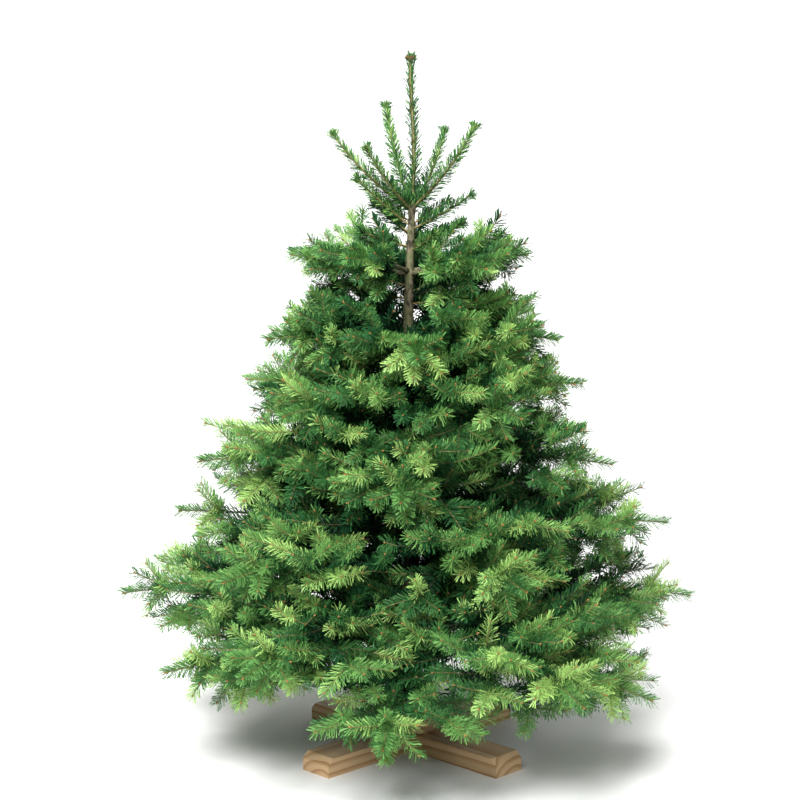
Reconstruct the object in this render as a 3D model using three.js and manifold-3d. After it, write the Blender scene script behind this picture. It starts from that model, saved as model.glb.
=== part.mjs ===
// A cut fir, grown as a Christmas tree, in a plain wooden cross stand.
// Millimetres, +Z up. The origin is on the floor under the trunk, the front of the tree faces -Y.
//
// The trunk carries eight whorls of boughs and one upright leader. Each bough's foliage is one solid:
// a stem, and the twigs that leave it in pairs at the end of each year's growth, each a stalk with a
// toothed spray of needles. The two lowest whorls are bare near the trunk, so there each bough is a
// limb of its own, and its foliage starts where the limb ends.

import * as THREE from "three";
import { mergeVertices } from "three/addons/utils/BufferGeometryUtils.js";
import Module from "manifold-3d";

const wasm = await Module();
wasm.setup();

// ---- Driving dimensions ------------------------------------------------------------------------

const HEIGHT = 1570; // floor to the buds of the leader
const CLEAR = 0.3; // air between two pieces that meet

const BEAM = { length: 600, width: 84, height: 42, chamfer: 14, turn: 45 };
const COLLAR = { radius: 64, height: 52, chamfer: 6, sides: 24 };

const TRUNK = {
  foot: BEAM.height + CLEAR,
  top: 1246,
  footRadius: 25,
  topRadius: 6.5,
  taper: 0.85, // below 1 the trunk stays thick for longer
  flare: 2.5, // extra radius at the cut foot
  flareHeight: 60,
  swelling: 1.8, // extra radius at each whorl
  sway: [-9, 5], // how far it wanders from the upright, along X and Y
  sides: 9,
};

const LEADER = { radius: 4.6, tipRadius: 3.2, needles: 22, needleLength: 22, needleLean: 34 };

// z: height on the trunk. turn: azimuth of the first bough, from +X. length: along the bough.
// rise: degrees above level at the trunk and at the tip. bare: share of the length with no foliage.
// year: length of one year's growth. limb: the bare share is a solid of its own. shoots: azimuth,
// length and mean rise of each bough, where the youngest whorl has no typical one.
const WHORLS = [
  {
    z: 1232, boughs: 5, turn: 332, length: 245, rise: [40, 62], bare: 0, radius: 4.4, year: 245,
    shoots: [[332, 235, 50], [55, 226, 55], [117, 275, 62], [180, 245, 45], [223, 192, 46]],
  },
  { z: 1090, boughs: 5, turn: 308, length: 283, rise: [13, 0], bare: 0.12, radius: 5.2, year: 88 },
  { z: 930, boughs: 5, turn: 344, length: 345, rise: [10, -10], bare: 0.14, radius: 5.8, year: 92 },
  { z: 808, boughs: 5, turn: 302, length: 425, rise: [8, -7], bare: 0.16, radius: 6.2, year: 96 },
  { z: 668, boughs: 5, turn: 340, length: 485, rise: [5, -9], bare: 0.18, radius: 6.8, year: 98 },
  { z: 502, boughs: 6, turn: 353, length: 574, rise: [5, -6], bare: 0.2, radius: 7.2, year: 100 },
  { z: 345, boughs: 6, turn: 0, length: 664, rise: [6, -12], bare: 0.34, radius: 8, year: 102, limb: true },
  { z: 250, boughs: 6, turn: 24, length: 632, rise: [2, -11], bare: 0.34, radius: 8, year: 100, limb: true },
];

const BOUGH = {
  steps: 10, // stretches along one bough
  tipShare: 0.32, // tip radius over root radius
  turnSpread: 5, // degrees, either way
  heightSpread: 7,
  lengthSpread: 0.06,
  riseSpread: 2.5,
  tilt: 2, // degrees that the boughs of one side of the tree rise or hang, alike in every whorl
  tiltTurn: 90, // degrees, where that begins
  limbSides: 5,
  limbRings: 4,
  stemSides: 3,
  stemRings: 3,
};

const TWIG = {
  branching: 52, // degrees between a twig and what it leaves
  oldBranching: 45, // between an older one and what it leaves
  spray: 1.55, // length of a spray, in years of the bough's growth
  bare: 0.4, // of each older year's growth before the spray, which grows longer by as much
  tipYears: 1.8, // growth that the spray at the bough's end stands for
  raised: [14, 52], // degrees out of the bough's plane, for every other twig
  lowered: [-6, -40], // and for the rest
};

const SPRAY = {
  width: 0.56, // over its length
  widest: 96,
  crown: 13, // height of its ridge over its edge
  keel: 7, // depth below its edge
  stalkRadius: 2.6,
  sunk: 1, // how far its point lies past the middle of what it leaves
  teeth: 2, // on each side
  firstTooth: 0.45, // places along it
  middle: 0.48,
  notch: 0.1, // how far each notch lies past its tooth
  notchDepth: 0.6, // width left at a notch, over that at its tooth
  lastTooth: 0.4, // reach of the teeth towards the tip, over the first's
  roll: 90, // degrees, either way
  tipRoll: 10,
  uprightLength: 120,
  uprightLean: 48,
  shares: [1.3, 1.2, 1.1, 1, 0.9, 0.8, 0.7, 0.6, 0.5], // lengths tried, over a usual one
};

const SHOOT = { needles: 11, needleLength: 26, needleLean: 48, needleRadius: 1.7, bud: 5.2 };

const SPACE = { margin: 2.5, floor: 105 }; // clear of the next bough's space, and of the floor

// ---- Small tools -------------------------------------------------------------------------------

const rad = THREE.MathUtils.degToRad;
const lerp = THREE.MathUtils.lerp;
const vec = (x, y, z) => new THREE.Vector3(x, y, z);
const UP = vec(0, 0, 1);

// The same number between 0 and 1 each time for the same four whole numbers.
function chance(a, b, c, d) {
  const s = Math.sin(a * 127.1 + b * 311.7 + c * 74.7 + d * 269.5) * 43758.5453;
  return s - Math.floor(s);
}

const spread = (amount, ...key) => (2 * chance(...key) - 1) * amount;

function solidOf(geometry) {
  const bare = new THREE.BufferGeometry().setAttribute("position", geometry.getAttribute("position"));
  bare.setIndex(geometry.getIndex());
  const merged = mergeVertices(bare, 1e-4);
  return new wasm.Manifold(
    new wasm.Mesh({
      numProp: 3,
      vertProperties: merged.attributes.position.array,
      triVerts: new Uint32Array(merged.index.array),
    }),
  );
}

function geometryOf(solid) {
  const { numProp, numVert, vertProperties, triVerts } = solid.getMesh();
  const position = new Float32Array(numVert * 3);
  for (let i = 0; i < numVert; i++) position.set(vertProperties.subarray(i * numProp, i * numProp + 3), i * 3);
  return new THREE.BufferGeometry()
    .setAttribute("position", new THREE.BufferAttribute(position, 3))
    .setIndex(new THREE.BufferAttribute(triVerts, 1));
}

// A round tapering limb through the given points: a cylinder whose rings are moved onto them, square
// to the limb, or all level.
function limbGeometry(points, radii, sides, level) {
  const segments = points.length - 1;
  const geometry = new THREE.CylinderGeometry(1, 1, 1, sides, segments);
  const position = geometry.getAttribute("position");
  const along = points.map((p, i) =>
    level ? UP : points[Math.min(i + 1, segments)].clone().sub(points[Math.max(i - 1, 0)]).normalize(),
  );
  const reference = Math.abs(along[0].z) > 0.95 ? vec(1, 0, 0) : UP;
  for (let i = 0; i < position.count; i++) {
    const ring = Math.round((position.getY(i) + 0.5) * segments);
    const across = along[ring].clone().cross(reference).normalize();
    const over = across.clone().cross(along[ring]);
    const p = points[ring]
      .clone()
      .addScaledVector(across, position.getX(i) * radii[ring])
      .addScaledVector(over, position.getZ(i) * radii[ring]);
    position.setXYZ(i, p.x, p.y, p.z);
  }
  return geometry;
}

const limbSolid = (points, radii, sides, level = false) =>
  outward(solidOf(limbGeometry(points, radii, sides, level)));

function outward(solid) {
  if (solid.volume() < 0) throw new Error("a solid is inside out");
  return solid;
}

// ---- Trunk and leader --------------------------------------------------------------------------

function trunkCentre(z) {
  const t = THREE.MathUtils.clamp((z - TRUNK.foot) / (TRUNK.top - TRUNK.foot), 0, 1);
  return vec(TRUNK.sway[0] * Math.sin(Math.PI * t ** 1.8), TRUNK.sway[1] * Math.sin(2 * Math.PI * t), z);
}

function trunkRadius(z) {
  const t = THREE.MathUtils.clamp((TRUNK.top - z) / (TRUNK.top - TRUNK.foot), 0, 1);
  const flare = TRUNK.flare * Math.exp(-(z - TRUNK.foot) / TRUNK.flareHeight);
  return TRUNK.topRadius + (TRUNK.footRadius - TRUNK.topRadius) * t ** TRUNK.taper + flare;
}

// Ring heights: the foot, a few up the bare stretch, and three for the swelling at each whorl.
function trunkRings() {
  const rings = [TRUNK.foot, TRUNK.foot + 30, TRUNK.foot + 90].map((z) => [z, 0]);
  for (const { z } of [...WHORLS].reverse()) {
    rings.push([z - 26, 0], [z, TRUNK.swelling], [Math.min(z + 22, TRUNK.top), 0]);
  }
  rings[rings.length - 1][0] = TRUNK.top;
  return rings;
}

function trunkSolid(extra) {
  const rings = trunkRings();
  return limbSolid(
    rings.map(([z]) => trunkCentre(z)),
    rings.map(([z, swelling]) => trunkRadius(z) + swelling + extra),
    TRUNK.sides,
    true,
  );
}

// One needle: a three-sided spike on a small triangle that is sunk in the stem.
function needleSolid(root, direction, length, radius) {
  const side = direction.clone().cross(vec(0.2, 0.3, 0.9)).normalize();
  const over = direction.clone().cross(side);
  const foot = root.clone().addScaledVector(direction, radius * 0.6);
  const corners = [0, 120, 240].map((turn) =>
    foot.clone().addScaledVector(side, radius * Math.cos(rad(turn))).addScaledVector(over, radius * Math.sin(rad(turn))),
  );
  const points = [...corners, root.clone().addScaledVector(direction, length)];
  return outward(solidOf(new THREE.BufferGeometry().setFromPoints(points).setIndex([0, 2, 1, 0, 1, 3, 1, 2, 3, 2, 0, 3])));
}

// Needles round a stem in a spiral, shorter towards the tip, and a bud at the end.
function needledStem(points, radii, sides, count, length, lean) {
  const pieces = [limbSolid(points, radii, sides)];
  const path = new THREE.CatmullRomCurve3(points);
  const GOLDEN = 137.5;
  for (let i = 0; i < count; i++) {
    const t = lerp(0.1, 0.985, i / (count - 1));
    const along = path.getTangentAt(t);
    const across = along.clone().cross(vec(0.3, 0.9, 0.1)).normalize();
    const out = across.applyAxisAngle(along, rad(GOLDEN * i));
    const angle = rad(lean * lerp(1, 0.7, t));
    const direction = along.clone().multiplyScalar(Math.cos(angle)).addScaledVector(out, Math.sin(angle));
    pieces.push(needleSolid(path.getPointAt(t), direction, length * lerp(1.15, 0.8, t), SHOOT.needleRadius));
  }
  const tip = points[points.length - 1];
  const along = path.getTangentAt(1);
  pieces.push(limbSolid(
    [-0.9, 0.1, 0.9].map((s) => tip.clone().addScaledVector(along, s * SHOOT.bud)),
    [radii[radii.length - 1] * 0.8, SHOOT.bud, SHOOT.bud * 0.3],
    5,
  ));
  return pieces;
}

function leaderPoints() {
  const root = trunkCentre(TRUNK.top);
  const tip = HEIGHT - SHOOT.bud * 0.9;
  return [0, 0.5, 1].map((t) => vec(root.x + 4 * Math.sin(5 * t), root.y, lerp(TRUNK.top + CLEAR, tip, t)));
}

// ---- Boughs ------------------------------------------------------------------------------------

// Degrees that a bough at an azimuth rises above its whorl's own angle.
const tiltAt = (azimuth) => BOUGH.tilt * Math.sin(rad(2 * azimuth + BOUGH.tiltTurn));

// The line of one bough: points, directions and radii at equal steps. With jitter 0 it is the
// whorl's typical bough, whose height against radius bounds the spaces above and below it.
function boughLine(w, k, jitter) {
  const whorl = WHORLS[w];
  let azimuth = whorl.turn + (360 / whorl.boughs) * k + jitter * spread(BOUGH.turnSpread, w, k, 1, 0);
  let length = whorl.length * (1 + jitter * spread(BOUGH.lengthSpread, w, k, 2, 0));
  let lifted = jitter * spread(BOUGH.riseSpread, w, k, 3, 0);
  if (whorl.shoots && jitter) {
    [azimuth, length, lifted] = whorl.shoots[k];
    lifted -= (whorl.rise[0] + whorl.rise[1]) / 2;
  }
  const tilt = whorl.shoots ? 0 : jitter * tiltAt(azimuth);
  const root = trunkCentre(whorl.z + jitter * spread(BOUGH.heightSpread, w, k, 4, 0));
  const rootRadius = trunkRadius(root.z) * 0.5;
  const drift = jitter * spread(6, w, k, 5, 0);
  const step = (length + rootRadius) / BOUGH.steps;
  const points = [];
  const directions = [];
  const radii = [];
  const p = root.clone();
  for (let i = 0; i <= BOUGH.steps; i++) {
    const t = i / BOUGH.steps;
    const rise = rad(lerp(whorl.rise[0], whorl.rise[1], t) + lifted + tilt);
    const turn = rad(azimuth + drift * (t - 0.5));
    const direction = vec(Math.cos(rise) * Math.cos(turn), Math.cos(rise) * Math.sin(turn), Math.sin(rise));
    points.push(p.clone());
    directions.push(direction);
    radii.push(whorl.radius * lerp(1, BOUGH.tipShare, t));
    p.addScaledVector(direction, step);
  }
  return { azimuth, length, points, directions, radii };
}

// Point, direction and radius at a share t of a line's length.
function at(line, t) {
  const x = THREE.MathUtils.clamp(t, 0, 1) * (line.points.length - 1);
  const i = Math.min(Math.floor(x), line.points.length - 2);
  return {
    point: line.points[i].clone().lerp(line.points[i + 1], x - i),
    direction: line.directions[i].clone().lerp(line.directions[i + 1], x - i).normalize(),
    radius: lerp(line.radii[i], line.radii[i + 1], x - i),
  };
}

// A stretch of a line, as points and radii for a limb.
function stretch(line, from, to, count) {
  const places = Array.from({ length: count }, (_, i) => at(line, lerp(from, to, i / (count - 1))));
  return [places.map((q) => q.point), places.map((q) => q.radius)];
}

// Height of a whorl's typical bough at a distance from the trunk, carried on straight past its tip.
function typicalHeight(w, distance) {
  const { points } = boughLine(w, 0, 0);
  const reach = points.map((p) => Math.hypot(p.x - points[0].x, p.y - points[0].y));
  let i = 1;
  while (i < points.length - 1 && reach[i] < distance) i++;
  const t = (distance - reach[i - 1]) / (reach[i] - reach[i - 1]);
  return points[i - 1].z + t * (points[i].z - points[i - 1].z);
}

// Degrees from a bough to the upright walls halfway to its two neighbours.
function wallsOf(w, k) {
  const { boughs } = WHORLS[w];
  const own = boughLine(w, k, 1).azimuth;
  return [1, -1].map((step) => {
    const turned = boughLine(w, (k + step + boughs) % boughs, 1).azimuth - own;
    return (THREE.MathUtils.euclideanModulo(turned + 180, 360) - 180) / 2;
  });
}

// A bough's own space: a wedge round the trunk, halfway to its neighbours on every side.
function spaceOf(w, k) {
  const own = boughLine(w, k, 1).azimuth;
  const [left, right] = wallsOf(w, k);
  return (p) => {
    const centre = trunkCentre(p.z);
    const distance = Math.hypot(p.x - centre.x, p.y - centre.y);
    const azimuth = THREE.MathUtils.radToDeg(Math.atan2(p.y - centre.y, p.x - centre.x));
    const off = THREE.MathUtils.euclideanModulo(azimuth - own + 180, 360) - 180;
    const side = Math.min(left - off, off - right);
    const tilted = distance * Math.tan(rad(tiltAt(azimuth)));
    const halfway = (other) => (typicalHeight(other, distance) + typicalHeight(w, distance)) / 2 + tilted;
    const above = w === 0 ? Infinity : halfway(w - 1);
    const below = w === WHORLS.length - 1 ? SPACE.floor : halfway(w + 1);
    return (
      side > 0 &&
      distance * Math.sin(rad(Math.min(side, 90))) > SPACE.margin &&
      p.z < above - SPACE.margin &&
      p.z > below + SPACE.margin
    );
  };
}

// ---- Sprays of needles -------------------------------------------------------------------------

// A toothed blade with a ridge above and a keel below, on a bare stalk. x runs along it and z is its
// upper side.
function sprayGeometry(stalk, length, width) {
  const side = stalk > 0 ? [[stalk, SPRAY.stalkRadius]] : [];
  for (let i = 0; i < SPRAY.teeth; i++) {
    const t = lerp(SPRAY.firstTooth, 1, i / SPRAY.teeth);
    const reach = (width / 2) * lerp(1, SPRAY.lastTooth, i / SPRAY.teeth);
    side.push([stalk + length * t, reach], [stalk + length * (t + SPRAY.notch), reach * SPRAY.notchDepth]);
  }
  const outline = [[-SPRAY.sunk, 0], ...side.map(([x, y]) => [x, -y]), [stalk + length, 0], ...side.reverse()];
  const n = outline.length;
  const middle = stalk + length * SPRAY.middle;
  const points = [...outline.map(([x, y]) => [x, y, 0]), [middle, 0, SPRAY.crown], [middle, 0, -SPRAY.keel]];
  const faces = outline.flatMap((_, i) => [i, (i + 1) % n, n, (i + 1) % n, i, n + 1]);
  return new THREE.BufferGeometry()
    .setAttribute("position", new THREE.Float32BufferAttribute(points.flat(), 3))
    .setIndex(faces);
}

// Rolls and points a blade: x along direction, its upper side as near to up as that allows.
function placed(geometry, root, direction, roll) {
  const side = UP.clone().cross(direction).normalize();
  const over = direction.clone().cross(side).normalize();
  const frame = new THREE.Matrix4().makeBasis(direction, side, over).setPosition(root);
  return geometry.applyMatrix4(frame.multiply(new THREE.Matrix4().makeRotationX(rad(roll))));
}

// A direction that leaves "along" by an angle, to one side and lifted out of the bough's plane.
function branched(along, angle, side, lift) {
  const across = along.clone().cross(UP).normalize().multiplyScalar(side);
  const over = across.clone().cross(along).multiplyScalar(side);
  const out = across.multiplyScalar(Math.cos(rad(lift))).addScaledVector(over, Math.sin(rad(lift)));
  return along.clone().multiplyScalar(Math.cos(rad(angle))).addScaledVector(out, Math.sin(rad(angle)));
}

// All the foliage of one bough. Twigs leave the stem in pairs at the end of each year's growth, and
// are as many years old as they are years from the tip.
function foliagePieces(w, k) {
  const whorl = WHORLS[w];
  const line = boughLine(w, k, 1);
  const inside = spaceOf(w, k);
  const pieces = [];
  const start = whorl.limb ? whorl.bare + CLEAR / line.length : 0;
  const end = 1 - (TWIG.tipYears * whorl.year) / line.length;
  pieces.push(limbSolid(...stretch(line, start, end, BOUGH.stemRings), BOUGH.stemSides));

  // A spray on its stalk, of the first of these shares of its usual size that keeps to the bough's
  // own space, or none.
  const addSpray = (root, direction, [stalk, length], roll, shares) => {
    for (const share of shares) {
      const width = Math.min(length * share * SPRAY.width, SPRAY.widest);
      const geometry = placed(sprayGeometry(stalk * share, length * share, width), root, direction, roll);
      const position = geometry.getAttribute("position");
      const corners = Array.from({ length: position.count - 1 }, (_, i) => vec().fromBufferAttribute(position, i + 1));
      if (!corners.every(inside)) continue;
      pieces.push(solidOf(geometry));
      return;
    }
  };

  const last = at(line, end);
  const ahead = at(line, 1).point.sub(last.point).normalize();
  addSpray(last.point, ahead, [0, whorl.year * TWIG.tipYears], spread(SPRAY.tipRoll, w, k, 0, 6), [1]);

  for (let age = 2; 1 - (age * whorl.year) / line.length > whorl.bare + 0.02; age++) {
    const node = at(line, 1 - (age * whorl.year) / line.length);
    const bare = whorl.year * TWIG.bare * (age - 2);
    const size = [bare, whorl.year * TWIG.spray + bare];
    for (const side of [-1, 1]) {
      const lifts = (age + k + (side + 1) / 2) % 2 === 0 ? TWIG.raised : TWIG.lowered;
      const lift = lerp(...lifts, chance(w, k, age, side + 7));
      const direction = branched(node.direction, age === 2 ? TWIG.branching : TWIG.oldBranching, side, lift);
      addSpray(node.point, direction, size, spread(SPRAY.roll, w, k, age, side + 9), SPRAY.shares);
    }
    for (const lift of [90, -90]) {
      const direction = branched(node.direction, SPRAY.uprightLean, 1, lift);
      addSpray(node.point, direction, [0, SPRAY.uprightLength], SPRAY.roll * chance(w, k, age, 4 + lift), SPRAY.shares);
    }
  }
  return pieces;
}

// The upswept shoots of the youngest whorl are single stems with needles all round.
function shootPieces(w, k) {
  const line = boughLine(w, k, 1);
  const [points, radii] = stretch(line, 0, 1 - SHOOT.bud / line.length, 4);
  return needledStem(points, radii, BOUGH.stemSides, SHOOT.needles, SHOOT.needleLength, SHOOT.needleLean);
}

// Joins the pieces, keeps them clear of the trunk, and drops any scrap that this cut loose.
function joined(pieces, trunkRoom) {
  const parts = wasm.Manifold.union(pieces).subtract(trunkRoom).decompose();
  return parts.reduce((largest, part) => (part.volume() > largest.volume() ? part : largest));
}

// The same for a bough or its foliage, which its walls part from those beside it.
function joinedBetweenWalls(pieces, trunkRoom, w, k) {
  const { azimuth } = boughLine(w, k, 1);
  const centre = trunkCentre(WHORLS[w].z);
  const walled = pieces.map((piece) => {
    let solid = piece;
    for (const wall of wallsOf(w, k)) {
      const normal = azimuth + wall - 90 * Math.sign(wall);
      const inward = vec(Math.cos(rad(normal)), Math.sin(rad(normal)), 0);
      solid = solid.trimByPlane(inward.toArray(), inward.dot(centre) + CLEAR);
    }
    return solid;
  });
  return joined(walled.filter((solid) => !solid.isEmpty()), trunkRoom);
}

// ---- Stand -------------------------------------------------------------------------------------

// A beam along X with chamfered ends. The half-lap in its middle is cut from above or from below.
function beamGeometry(lapFrom) {
  const half = BEAM.length / 2;
  const lap = BEAM.width / 2 + CLEAR;
  const middle = BEAM.height / 2 + (lapFrom === "above" ? -CLEAR / 2 : CLEAR / 2);
  const profile = new THREE.Shape();
  profile.moveTo(-half, 0);
  if (lapFrom === "below") {
    profile.lineTo(-lap, 0).lineTo(-lap, middle).lineTo(lap, middle).lineTo(lap, 0);
  }
  profile.lineTo(half, 0).lineTo(half, BEAM.height - BEAM.chamfer).lineTo(half - BEAM.chamfer, BEAM.height);
  if (lapFrom === "above") {
    profile.lineTo(lap, BEAM.height).lineTo(lap, middle).lineTo(-lap, middle).lineTo(-lap, BEAM.height);
  }
  profile.lineTo(-half + BEAM.chamfer, BEAM.height).lineTo(-half, BEAM.height - BEAM.chamfer);
  const geometry = new THREE.ExtrudeGeometry(profile, { depth: BEAM.width, bevelEnabled: false, curveSegments: 1 });
  return geometry.rotateX(Math.PI / 2).translate(0, BEAM.width / 2, 0);
}

// A turned ring round the trunk's foot.
function collarGeometry() {
  const bore = (TRUNK.footRadius + TRUNK.flare + CLEAR) / Math.cos(Math.PI / COLLAR.sides);
  const { radius, height, chamfer } = COLLAR;
  const profile = [
    [bore, 0],
    [radius, 0],
    [radius, height - chamfer],
    [radius - chamfer, height],
    [bore, height],
    [bore, 0],
  ].map(([x, y]) => new THREE.Vector2(x, y));
  return new THREE.LatheGeometry(profile, COLLAR.sides).rotateX(Math.PI / 2);
}

// ---- The tree ----------------------------------------------------------------------------------

const bark = new THREE.MeshStandardMaterial({ color: 0x6e5f47, roughness: 0.9, metalness: 0 });
const needles = new THREE.MeshStandardMaterial({ color: 0x2f6a33, roughness: 0.6, metalness: 0 });
const timber = new THREE.MeshStandardMaterial({ color: 0xc9a878, roughness: 0.75, metalness: 0 });

const tree = new THREE.Group();

function add(name, geometry, material) {
  const mesh = new THREE.Mesh(geometry, material);
  mesh.name = name;
  tree.add(mesh);
  return mesh;
}

const trunkRoom = trunkSolid(CLEAR);

add("trunk", geometryOf(trunkSolid(0)), bark);
const leaderParts = needledStem(
  leaderPoints(),
  [0, 0.5, 1].map((t) => lerp(LEADER.radius, LEADER.tipRadius, t)),
  5,
  LEADER.needles,
  LEADER.needleLength,
  LEADER.needleLean,
);
add("leader", geometryOf(joined(leaderParts, trunkRoom)), needles);

WHORLS.forEach((whorl, w) => {
  for (let k = 0; k < whorl.boughs; k++) {
    const place = `${w + 1}_${k + 1}`;
    if (whorl.limb) {
      const line = boughLine(w, k, 1);
      const limb = limbSolid(...stretch(line, 0, whorl.bare, BOUGH.limbRings), BOUGH.limbSides);
      add(`bough_${place}`, geometryOf(joinedBetweenWalls([limb], trunkRoom, w, k)), bark);
    }
    const pieces = w === 0 ? shootPieces(w, k) : foliagePieces(w, k);
    add(`foliage_${place}`, geometryOf(joinedBetweenWalls(pieces, trunkRoom, w, k)), needles);
  }
});

add("stand_beam_lower", beamGeometry("above"), timber).rotation.z = rad(BEAM.turn);
add("stand_beam_upper", beamGeometry("below"), timber).rotation.z = rad(BEAM.turn + 90);
add("stand_collar", collarGeometry(), timber).position.z = BEAM.height + CLEAR;

export default tree;
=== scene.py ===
"""A cut fir, grown as a Christmas tree, in a plain wooden cross stand.

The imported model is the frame: trunk, boughs, masses of foliage and stand, in metres, with the origin
on the floor under the trunk and the front of the tree facing -Y. The growth rule of those solids is
written again here and carried on to finer twigs. Node trees then lay bark on the limbs, and needles
and buds on the twigs. The stand keeps its own solids, finished in sawn softwood.
"""

import math

import bpy
import numpy as np
from bpy.props import FloatProperty, FloatVectorProperty, IntProperty, PointerProperty
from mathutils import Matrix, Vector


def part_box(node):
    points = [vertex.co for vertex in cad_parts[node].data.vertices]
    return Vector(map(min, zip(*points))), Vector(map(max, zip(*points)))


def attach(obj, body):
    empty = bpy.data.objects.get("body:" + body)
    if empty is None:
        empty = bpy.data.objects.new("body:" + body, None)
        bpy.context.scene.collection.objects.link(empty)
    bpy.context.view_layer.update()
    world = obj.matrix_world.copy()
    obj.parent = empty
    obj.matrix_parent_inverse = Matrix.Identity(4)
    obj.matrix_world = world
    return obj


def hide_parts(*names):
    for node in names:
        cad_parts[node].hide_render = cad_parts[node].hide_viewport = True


bl_info = {
    "name": "Cut Fir in a Cross Stand",
    "version": (1, 0, 0),
    "blender": (4, 5, 0),
    "location": "3D View > Sidebar > Fir",
    "description": "Grows a cut fir on its packed frame, with bark, twigs, needles, buds and a stand",
    "category": "Object",
}

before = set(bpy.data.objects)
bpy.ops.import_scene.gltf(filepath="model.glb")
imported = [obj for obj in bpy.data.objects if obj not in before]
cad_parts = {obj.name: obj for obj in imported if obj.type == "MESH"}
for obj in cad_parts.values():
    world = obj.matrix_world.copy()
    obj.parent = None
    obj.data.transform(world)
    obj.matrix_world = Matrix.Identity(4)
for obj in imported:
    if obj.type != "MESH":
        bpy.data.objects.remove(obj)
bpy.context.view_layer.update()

BODY = "root"
UP = np.array([0.0, 0.0, 1.0])
FLOOR = 0.0


# ---- The growth rule of the solids, in metres and degrees --------------------------------------

TRUNK_FOOT = float(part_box("trunk")[0][2])
TRUNK_TOP = float(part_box("trunk")[1][2])
LEADER_TIP = float(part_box("leader")[1][2])

TRUNK = {
    "foot_radius": 0.025,
    "top_radius": 0.0065,
    "taper": 0.85,  # below 1 the trunk stays thick for longer
    "flare": 0.0025,  # extra radius at the cut foot
    "flare_height": 0.06,
    "swelling": 0.0018,  # extra radius at each whorl
    "swelling_height": 0.012,
    "sway": (-0.009, 0.005),  # how far it wanders from the upright, along X and Y
}

# z: height on the trunk. turn: azimuth of the first bough, from +X. length: along the bough. rise:
# degrees above level at the trunk and at the tip. bare: share of the length with no foliage. year:
# length of one year's growth. shoots: azimuth, length and mean rise of each bough of the youngest.
WHORLS = [
    dict(z=1.232, boughs=5, turn=332, length=0.245, rise=(40, 62), bare=0, radius=0.0044, year=0.245,
         shoots=[(332, 0.235, 50), (55, 0.226, 55), (117, 0.275, 62), (180, 0.245, 45), (223, 0.192, 46)]),
    dict(z=1.09, boughs=5, turn=308, length=0.283, rise=(13, 0), bare=0.12, radius=0.0052, year=0.088),
    dict(z=0.93, boughs=5, turn=344, length=0.345, rise=(10, -10), bare=0.14, radius=0.0058, year=0.092),
    dict(z=0.808, boughs=5, turn=302, length=0.425, rise=(8, -7), bare=0.16, radius=0.0062, year=0.096),
    dict(z=0.668, boughs=5, turn=340, length=0.485, rise=(5, -9), bare=0.18, radius=0.0068, year=0.098),
    dict(z=0.502, boughs=6, turn=353, length=0.574, rise=(5, -6), bare=0.2, radius=0.0072, year=0.1),
    dict(z=0.345, boughs=6, turn=0, length=0.664, rise=(6, -12), bare=0.34, radius=0.008, year=0.102),
    dict(z=0.25, boughs=6, turn=24, length=0.632, rise=(2, -11), bare=0.34, radius=0.008, year=0.1),
]

BOUGH = {
    "steps": 10,
    "tip_share": 0.32,  # radius at the tip over radius at the root
    "rooted": 0.5,  # of the trunk's radius, that the line is longer for being inside it
    "turn_spread": 5,
    "drift_spread": 6,  # how far a bough bends to one side
    "height_spread": 0.007,
    "length_spread": 0.06,
    "rise_spread": 2.5,
    "tilt": 2,
    "tilt_turn": 90,
}

# ---- What grows on the boughs and the trunk ----------------------------------------------------

# Twigs leave a bough or an older twig at the end of each year's growth. The angles of the first pair
# at each node are those of the solids.
TWIG = {
    "branching": 52,
    "old_branching": 45,
    "raised": (14, 52),
    "lowered": (-6, -40),
    "wider": 8,  # how much wider the second pair stands than the first
    "turned_back": -0.5,  # the second pair's lift over the first's
    "fork": 27,  # the angle of the two longest twigs, that leave the oldest node
    "upright_lean": 48,  # the angle of the single twigs above and below
    "upright_turn": 50,
    "side_lift": 30,
    "between_branching": 55,
    "between_lift": 80,
    "year_share": 0.88,  # a side twig's yearly growth over that of what it leaves
    "fork_share": 0.95,
    "upright_share": 0.74,
    "between_share": 0.66,
    "between": 3,  # twigs that may grow between one node and the next
    "between_chance": 0.42,
    "upright_chance": 0.42,
    "young": 2,  # years, up to which a node's twigs branch wide and its minor ones grow
    "year_spread": 0.14,
    "shortest_year": 0.027,
    "strong_year": 0.09,  # one that ends in a bud of full size
    "orders": 2,
    "steps": 3,
    "wander": 0.1,
    "to_light": 0.04,
    "radius": 0.001,
    "radius_per_year": 0.0004,
    "buds": (0.0036, 0.0056),
    "room": 0.012,  # how far a twig may reach past its bough's own space
}

# A bud at a tip has smaller ones round it: how far below its foot, how far out and how large.
SIDE_BUDS = {"below": 0.4, "out": 0.9, "share": 0.75}

# The last two years of a bough's own wood, thinner than its bark, with its needles and buds.
BOUGH_END = {
    "years": 2,
    "held_back": 0.4,  # of a needle's length, so that the needles end where the solid does
    "joint": 0.8,  # radius where this wood leaves the bark, over the bark's
    "radii": (0.0020, 0.0012),
    "brightest": 1.4,
    "fullness": (1.7, 1.2),  # of this year's needles and of older ones
    "needled_years": 4,
    "bud": 0.006,
    "side_buds": 3,
    "bare_room": 0.02,  # share of the length kept free of nodes past the bare stretch
    "rings": 24,
    "collar": (0.35, 0.02),  # how much thicker the bark is at the trunk, and over what length
}

FLOOR_ROOM = 0.16  # the twigs keep this far above the floor

# The trunk shows at the front from its top whorl down to this height: nothing grows before it there.
OPEN_FRONT = {"whorls": (1, 2), "from": 0.965, "half_width": 0.032, "azimuth": 270, "cleared": 40}

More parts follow.
